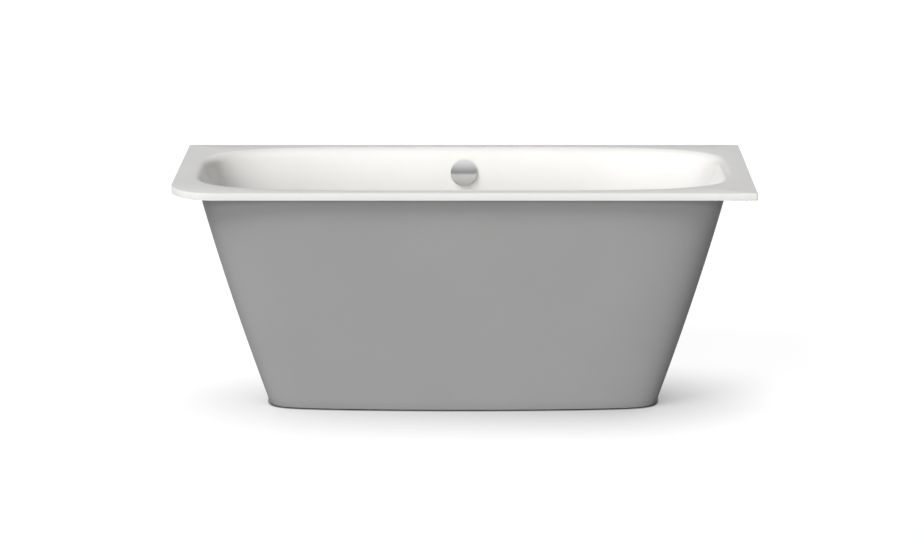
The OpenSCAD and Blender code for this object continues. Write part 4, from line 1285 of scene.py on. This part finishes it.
@dataclass
class Overflow:
    """The turning knob with its housing, and the hose and the cable down to the waste."""

    knob_r: float = 38.5
    gap: float = 6.0
    skirt: float = 8.0
    dome: float = 4.0
    dome_drop: float = 0.02
    dome_margin: float = 3.0
    dome_steps: int = 16
    rim_round: float = 2.6
    rim_steps: int = 8
    foot_round: float = 0.8
    inner_round: float = 1.0
    metal: float = 2.5
    spindle_r: float = 5.0
    play: float = 0.05
    hub_r: float = 9.0
    hub_drop: float = 2.0
    hose_r: float = 18.0
    hose_sides: int = 32
    hose_end: float = 0.2
    groove: float = 2.5
    bore: float = 12.0
    pitch: float = 10.0
    rib_steps: int = 8
    rib_power: float = 0.6
    bend: float = 70.0
    level_z: float = 150.0
    stub_end: float = 60.0
    stub_z: float = -27.0
    waste_stub: float = 55.0
    cable_r: float = 2.5
    cable_sides: int = 16
    cable_steps: int = 8
    route: tuple[Point, ...] = (
        (27, 304.5, 508.5), (27, 302, 495), (27.5, 292.5, 440), (27.5, 283.5, 390),
        (27.5, 275, 340), (28, 266, 290), (30, 256, 240), (34, 244, 205), (42, 221, 176),
        (54, 190, 157), (68, 157, 146), (82, 124, 140), (91, 97, 138), (88, 77, 138),
        (76, 67, 138), (62, 65.5, 138), (50.4, 65.5, 138),
    )

    def build_knob(self) -> None:
        """Makes the knob: a shallow dome with a round edge, hollow behind, and its hub."""
        top, foot = self.gap + self.skirt, self.gap
        sphere = (self.knob_r ** 2 + self.dome ** 2) / (2 * self.dome)

        def height(r: float) -> float:
            """The dome's height at a radius."""
            return top + self.dome - sphere + math.sqrt(sphere * sphere - r * r)

        outer, inner, ceiling = self.knob_r, self.knob_r - self.metal, top - self.metal
        reach, socket = outer - self.dome_margin, self.spindle_r + self.play
        hub_foot = foot - self.hub_drop
        profile: list[Flat] = [(ON_AXIS, height(0.0) - self.dome_drop)]
        for i in range(1, self.dome_steps + 1):
            r = reach * i / self.dome_steps
            profile.append((r, height(r) - self.dome_drop))
        profile += rounded(
            (reach, height(reach)), (outer, top), (outer, foot), self.rim_round, self.rim_steps)
        profile += rounded((outer, top), (outer, foot), (inner, foot), self.foot_round)
        profile += rounded((outer, foot), (inner, foot), (inner, top), self.foot_round)
        profile += [(inner, ceiling - self.inner_round), (inner - self.inner_round, ceiling)]
        profile += [(self.hub_r, ceiling), (self.hub_r, hub_foot)]
        profile += [(socket, hub_foot), (socket, ceiling), (ON_AXIS, ceiling)]
        skin = lathe(profile, FINE_SIDES)
        piece = skin.piece("knob_cap", (CHROME,), METAL_CREASE, OVERFLOW_FRAME)
        report(piece, Body.KNOB, Slot.CHROME, "overflow_knob")

    def hose_way(self) -> tuple[float, float, float, Flat]:
        """Works out the hose's way down the back wall and level to the waste.

        Returns:
            The lengths of its fall, its bend and its level run, and its start.
        """
        turn = math.radians(BACK_SLOPE)
        start = (
            OVERFLOW_Y - self.stub_end * math.sin(turn) - self.stub_z * math.cos(turn),
            OVERFLOW_Z - self.stub_end * math.cos(turn) + self.stub_z * math.sin(turn),
        )
        way = math.pi / 2 - turn
        fall = (start[1] - self.level_z - self.bend * (1 - math.cos(way))) / math.sin(way)
        bend = self.bend * way
        end_y = start[0] - fall * math.cos(way) - self.bend * math.sin(way)
        return fall, bend, end_y - WASTE_Y - self.waste_stub, start

    def hose_at(self, s: float) -> tuple[Flat, float]:
        """Finds a point of the hose's middle line.

        Args:
            s: The length along it.

        Returns:
            The point across and up, and the hose's heading below level.
        """
        fall, bend, _, start = self.hose_way()
        way = math.pi / 2 - math.radians(BACK_SLOPE)
        if s < fall:
            return (start[0] - s * math.cos(way), start[1] - s * math.sin(way)), way
        turn = way - min((s - fall) / self.bend, way)
        y = start[0] - fall * math.cos(way) - self.bend * (math.sin(way) - math.sin(turn))
        z = self.level_z + self.bend * (1 - math.cos(turn))
        return (y - max(s - fall - bend, 0.0), z), turn

    def build_hose(self) -> None:
        """Makes the ribbed hose along its route."""
        fall, bend, level, _ = self.hose_way()
        total = fall + bend + level
        plain = self.hose_r
        ribs = int((total - 2 * plain) / self.pitch)
        pitch = (total - 2 * plain) / ribs
        stops = [(self.hose_end, 0.0), (plain / 2, 0.0)]
        for i in range(ribs * self.rib_steps + 1):
            wave = 0.5 - 0.5 * math.cos(math.tau * i / self.rib_steps)
            stops.append((plain + pitch * i / self.rib_steps, wave ** self.rib_power))
        stops += [(total - plain / 2, 0.0), (total - self.hose_end, 0.0)]
        outer = [self.ring(s, self.hose_r - self.groove * (1 - up)) for s, up in stops]
        inner = [self.ring(s, self.bore) for s, _ in reversed(stops)]
        skin = Skin()
        skin.grid(outer + inner, open_rows=False)
        piece = skin.piece("hose_ribbed", (HOSE_PLASTIC,), HOSE_CREASE)
        report(piece, Body.TUB, Slot.HOSE, "overflow_hose")

    def ring(self, s: float, radius: float) -> list[Point]:
        """Lays a ring of points round the hose.

        Args:
            s: The length along the hose.
            radius: The ring's radius.

        Returns:
            The ring's points.
        """
        (y, z), turn = self.hose_at(s)
        row = []
        for i in range(self.hose_sides):
            a = math.tau * (i + 0.5) / self.hose_sides
            row.append((
                radius * math.cos(a), y - radius * math.sin(a) * math.sin(turn),
                z + radius * math.sin(a) * math.cos(turn),
            ))
        return row

    def build_cable(self) -> None:
        """Makes the pull cable in its sleeve along its route."""
        points = [Vector(p) for p in self.route]
        way: list[Vector] = []
        for i in range(len(points) - 1):
            a, b = points[max(i - 1, 0)], points[i]
            c, d = points[i + 1], points[min(i + 2, len(points) - 1)]
            for k in range(self.cable_steps):
                f = k / self.cable_steps
                way.append(0.5 * (
                    2 * b + (c - a) * f + (2 * a - 5 * b + 4 * c - d) * f * f
                    + (3 * b - a - 3 * c + d) * f ** 3))
        way.append(points[-1])
        rows = []
        turns = [math.tau * j / self.cable_sides for j in range(self.cable_sides)]
        for i, place in enumerate(way):
            ahead = (way[min(i + 1, len(way) - 1)] - way[max(i - 1, 0)]).normalized()
            across = ahead.cross(Vector((1.0, 0.0, 1.0))).normalized()
            other = ahead.cross(across)
            rows.append([
                tuple(place + self.cable_r * (math.cos(turn) * across + math.sin(turn) * other))
                for turn in turns
            ])
        skin = Skin()
        skin.grid(rows)
        skin.cap(rows[0])
        skin.cap(rows[-1])
        piece = skin.piece("cable_in_sleeve", (CABLE_SLEEVE,), HOSE_CREASE)
        report(piece, Body.TUB, Slot.CABLE, "pull_cable")

    def dress(self) -> None:
        """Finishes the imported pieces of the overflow."""
        dress_node("overflow_spindle", STAINLESS)
        dress_node("overflow_faceplate", WHITE_PLASTIC)
        dress_node("overflow_screws", ZINC)
        dress_node("cable_clips", CLIP_PLASTIC)
        for node in ("overflow_housing", "hose_nuts"):
            dress_node(node, GREY_PLASTIC)
        softened("overflow_gaskets", RUBBER, Slot.RUBBER, Body.TUB, edge_mm=0.25)


@dataclass
class Waste:
    """The waste's ring and plug, its body with the lever, the trap and the outlet."""

    neck: float = 25.0
    bore: float = 21.0
    neck_foot: float = -15.0
    seat: float = 1.0
    top: float = 3.0
    ring_r: float = 35.0
    ring_round: float = 1.2
    mouth_round: float = 1.4
    round_steps: int = 6
    plug_foot: float = 5.0
    plug_r: float = 32.0
    plug_h: float = 7.0
    plug_rim: float = 3.0
    dome_drop: float = 0.02
    dome_margin: float = 2.0
    dome_steps: int = 14
    plug_round: float = 1.8
    foot_round: float = 0.9
    foot_steps: int = 4
    stem_r: float = 4.0
    play: float = 0.05
    guide: Flat = (-13.0, -3.0)
    guide_wall: float = 3.0
    guide_sides: int = 48
    spokes: int = 3
    spoke_half: float = 1.25
    spoke_bite: float = 1.0

    def build_ring(self) -> None:
        """Makes the visible ring with its round edge, its neck and the guide of the stem."""
        ring_r, bore, seat, top = self.ring_r, self.bore, self.seat, self.top
        profile: list[Flat] = [(bore, self.neck_foot), (self.neck, self.neck_foot)]
        profile += [(self.neck, seat), (ring_r, seat)]
        profile += rounded(
            (ring_r, seat), (ring_r, top), (bore, top), self.ring_round, self.round_steps)
        profile += rounded(
            (ring_r, top), (bore, top), (bore, seat), self.mouth_round, self.round_steps)
        skin = lathe(profile, FINE_SIDES)
        low, high = self.guide
        inner, outer = self.stem_r + self.play, self.stem_r + self.guide_wall
        guide = [(inner, low), (outer, low), (outer, high), (inner, high)]
        skin.grid(lathe_rows(guide, self.guide_sides), open_rows=False)
        for i in range(self.spokes):
            self.add_spoke(skin, math.tau * i / self.spokes)
        piece = skin.piece("waste_ring", (CHROME,), METAL_CREASE, WASTE_FRAME)
        report(piece, Body.TUB, Slot.CHROME, "drain_ring")

    def add_spoke(self, skin: Skin, turn: float) -> None:
        """Adds one spoke between the guide and the neck, a little way into both.

        Args:
            skin: The skin to add to.
            turn: Its angle in radians.
        """
        low, high = self.guide
        r_in, r_out = self.stem_r + self.guide_wall - self.spoke_bite, self.bore + self.spoke_bite
        c, s = math.cos(turn), math.sin(turn)

        def at(r: float, side: float, z: float) -> Point:
            """A corner of the spoke."""
            return (r * c - side * s, r * s + side * c, z)

        half = self.spoke_half
        rows = [[at(r, -half, low), at(r, half, low), at(r, half, high), at(r, -half, high)]
                for r in (r_in, r_out)]
        skin.grid(rows)
        skin.cap(rows[0])
        skin.cap(rows[1])

    def build_plug(self) -> None:
        """Makes the plug's cap: a low dome with a round rim."""
        rise = self.plug_h - self.plug_rim
        sphere = (self.plug_r ** 2 + rise ** 2) / (2 * rise)
        foot, top = self.plug_foot, self.plug_foot + self.plug_h

        def height(r: float) -> float:
            """The dome's height at a radius."""
            return top - sphere + math.sqrt(sphere * sphere - r * r) - self.dome_drop

        reach = self.plug_r - self.dome_margin
        profile: list[Flat] = [(ON_AXIS, height(0.0))]
        for i in range(1, self.dome_steps + 1):
            r = reach * i / self.dome_steps
            profile.append((r, height(r)))
        edge, corner = (self.plug_r, foot + self.plug_rim), (self.plug_r, foot)
        profile += rounded((reach, height(reach)), edge, corner, self.plug_round, self.round_steps)
        profile += rounded(edge, corner, (0.0, foot), self.foot_round, self.foot_steps)
        profile += [(ON_AXIS, foot)]
        skin = lathe(profile, FINE_SIDES)
        piece = skin.piece("plug_cap", (CHROME,), METAL_CREASE, WASTE_FRAME)
        report(piece, Body.PLUG, Slot.CHROME, "drain_plug")

    def dress(self) -> None:
        """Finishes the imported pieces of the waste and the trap."""
        for node in ("plug_stem", "lift_lever", "lever_pin"):
            dress_node(node, STAINLESS)
        dress_node("drain_body", GREY_PLASTIC)
        for node in ("trap", "trap_nuts", "outlet_pipe"):
            dress_node(node, WHITE_PLASTIC)
        softened("drain_gaskets", RUBBER, Slot.RUBBER, Body.TUB, edge_mm=0.25)
        softened("trap_seals", RUBBER, Slot.RUBBER, Body.TUB, edge_mm=0.3)
        softened("plug_seal", RUBBER, Slot.RUBBER, Body.PLUG, edge_mm=0.4)


# The studio


@dataclass
class Lamp:
    """A broad, far light, as from a large white screen, that no mirror shows."""

    name: str
    left: float
    above: float
    spread: float
    level: float

    def build(self) -> None:
        """Hangs the lamp, so that a sheet that faces it renders at its level."""
        data = bpy.data.lights.new(self.name, "SUN")
        data.angle = math.radians(self.spread)
        data.energy = self.level * math.pi
        lamp = bpy.data.objects.new(self.name, data)
        turn, rise = math.radians(self.left), math.radians(self.above)
        way = Vector((
            math.sin(turn) * math.cos(rise), math.cos(turn) * math.cos(rise), -math.sin(rise)))
        lamp.rotation_euler = way.to_track_quat("-Z", "Y").to_euler()
        lamp.visible_glossy = False
        bpy.context.scene.collection.objects.link(lamp)
        LOG.info("lamp %s at %.2f", self.name, self.level)


@dataclass
class Studio:
    """The pale floor, the plain sky and the lamps."""

    half_floor: float = 60.0
    floor_tone: Colour = (0.27, 0.27, 0.27)
    seen_tone: Colour = (0.18, 0.18, 0.18)
    floor_glow: float = 0.92
    shade_samples: int = 16
    shade_reach: float = 0.36
    # The reach and power of the painted contact shadow along the apron's foot.
    contact_shadow_reach: float = 0.008
    contact_shadow_power: float = 3.0
    shade_front: float = -0.32
    shade_back: float = 0.25
    shade_middle: float = 0.87
    shade_slope: float = 0.40
    sky_level: float = 0.045
    low_sky: float = 0.19
    clear_rise: float = 0.60
    lamps: tuple[Lamp, ...] = (
        Lamp("low", left=12.0, above=8.0, spread=40.0, level=0.83),
        Lamp("key", left=45.0, above=48.0, spread=30.0, level=0.59),
        Lamp("back", left=180.0, above=16.0, spread=50.0, level=0.66),
    )

    def seen(self, bench: Bench) -> Signal:
        """Tells what the eye sees, straight or in metal or glass, from what only lights.

        Args:
            bench: The nodes to add to.

        Returns:
            1 for what is seen, else 0.
        """
        total: Signal | None = None
        for name in ("Is Camera Ray", "Is Glossy Ray", "Is Transmission Ray"):
            ray = bench.add("ShaderNodeLightPath", None, None, name)
            total = ray if total is None else total.larger(ray)
        return total

    def open_share(self, bench: Bench, reach: float) -> Signal:
        """How open the floor lies, from 0 under the tub to 1 where nothing stands within reach."""
        settings = {"samples": self.shade_samples}
        return bench.add("ShaderNodeAmbientOcclusion", settings, {"Distance": reach}, "AO")

    def shade(self, bench: Bench) -> Signal:
        """How much painted shadow takes off the floor's glow, from the tub's ambient occlusion.

        It is weighted by place: deepest in front of the apron's foot, fading out behind the tub
        and growing towards the right.

        Args:
            bench: The floor's nodes.

        Returns:
            The shade, from 0 in the open to about 1.
        """
        wide = 1.0 - self.open_share(bench, self.shade_reach)
        across = bench.add("ShaderNodeSeparateXYZ", None, {0: bench.place()}, "X")
        deep = bench.add("ShaderNodeSeparateXYZ", None, {0: bench.place()}, "Y")
        # Painted shadow: occlusion times a weight by the floor's place.
        ahead = 1.0 - deep.between(self.shade_front, self.shade_back)
        return wide * ahead * (across * self.shade_slope + self.shade_middle)

    def build_floor(self) -> None:
        """Lays the floor, which looks white where no shadow falls, with a painted shadow and a
        painted contact shadow in its glow.
        """
        material = bpy.data.materials.new("studio floor")
        material.use_nodes = True
        bench = Bench(material.node_tree)
        seen = self.seen(bench)
        cloth = bench.add(
            "ShaderNodeBsdfDiffuse", None,
            {"Color": bench.mix(seen, self.floor_tone, self.seen_tone)},
        )
        # Painted contact shadow: the glow is taken off where anything stands within a few
        # millimetres.
        contact_shadow_mask = self.open_share(bench, self.contact_shadow_reach) ** self.contact_shadow_power
        # The glow also carries the painted shadow round the tub.
        strength = seen * contact_shadow_mask * (1.0 - self.shade(bench)) * self.floor_glow
        glow = bench.add("ShaderNodeEmission", None, {"Color": WHITE, "Strength": strength})
        both = bench.add("ShaderNodeAddShader", None, {0: cloth, 1: glow})
        bench.add("ShaderNodeOutputMaterial", None, {"Surface": both})
        mesh = bpy.data.meshes.new("floor")
        h = self.half_floor
        mesh.from_pydata([(-h, -h, 0), (h, -h, 0), (h, h, 0), (-h, h, 0)], [], [(0, 1, 2, 3)])
        mesh.materials.append(material)
        floor = bpy.data.objects.new("floor", mesh)
        bpy.context.scene.collection.objects.link(floor)

    def build_sky(self) -> None:
        """Makes the sky white to the eye, greyer low down in gloss, and weak as a light."""
        world = bpy.data.worlds.new("studio")
        world.use_nodes = True
        bpy.context.scene.world = world
        bench = Bench(world.node_tree)
        way = bench.add(
            "ShaderNodeSeparateXYZ", None,
            {0: bench.add("ShaderNodeTexCoord", output="Generated")}, "Z",
        )
        straight = bench.add("ShaderNodeLightPath", None, None, "Is Camera Ray")
        clear = way.between(0.0, self.clear_rise).larger(straight)
        shown = clear * (1.0 - self.low_sky) + self.low_sky
        strength = self.seen(bench) * (shown - self.sky_level) + self.sky_level
        light = bench.add("ShaderNodeBackground", None, {"Color": WHITE, "Strength": strength})
        bench.add("ShaderNodeOutputWorld", None, {"Surface": light})

    def build(self) -> None:
        """Builds floor, sky and lamps, and sets the plain view."""
        self.build_floor()
        self.build_sky()
        for lamp in self.lamps:
            lamp.build()
        bpy.context.scene.view_settings.view_transform = "Standard"


@dataclass
class Viewpoint:
    """The camera at the photograph's place."""

    place: Point = (0.054, -8.928, 2.403)
    tilt: float = 76.955
    sensor: float = 36.0
    lens: float = 126.6
    shift: float = -0.0244
    sight: float = 200.0

    def build(self) -> None:
        """Sets up the camera."""
        data = bpy.data.cameras.new("view")
        data.sensor_width = self.sensor
        data.lens = self.lens
        data.shift_x = self.shift
        data.clip_end = self.sight
        camera = bpy.data.objects.new("view", data)
        camera.location = self.place
        camera.rotation_euler = (math.radians(self.tilt), 0.0, 0.0)
        bpy.context.scene.collection.objects.link(camera)
        bpy.context.scene.camera = camera


def main() -> None:
    """Builds and dresses the sub-assemblies in order, then the studio."""
    logging.basicConfig(level=logging.INFO, format="%(name)s: %(message)s", stream=sys.stdout)
    Viewpoint().build()
    shell = Shell()
    shell.build()
    apron = Apron()
    apron.build()
    apron.build_foot_shadow_strip()
    apron.dress()
    Undercarriage().dress()
    WallHolders().dress()
    overflow = Overflow()
    overflow.build_knob()
    overflow.build_hose()
    overflow.build_cable()
    overflow.dress()
    waste = Waste()
    waste.build_ring()
    waste.build_plug()
    waste.dress()
    Studio().build()


if __name__ == "__main__":
    main()
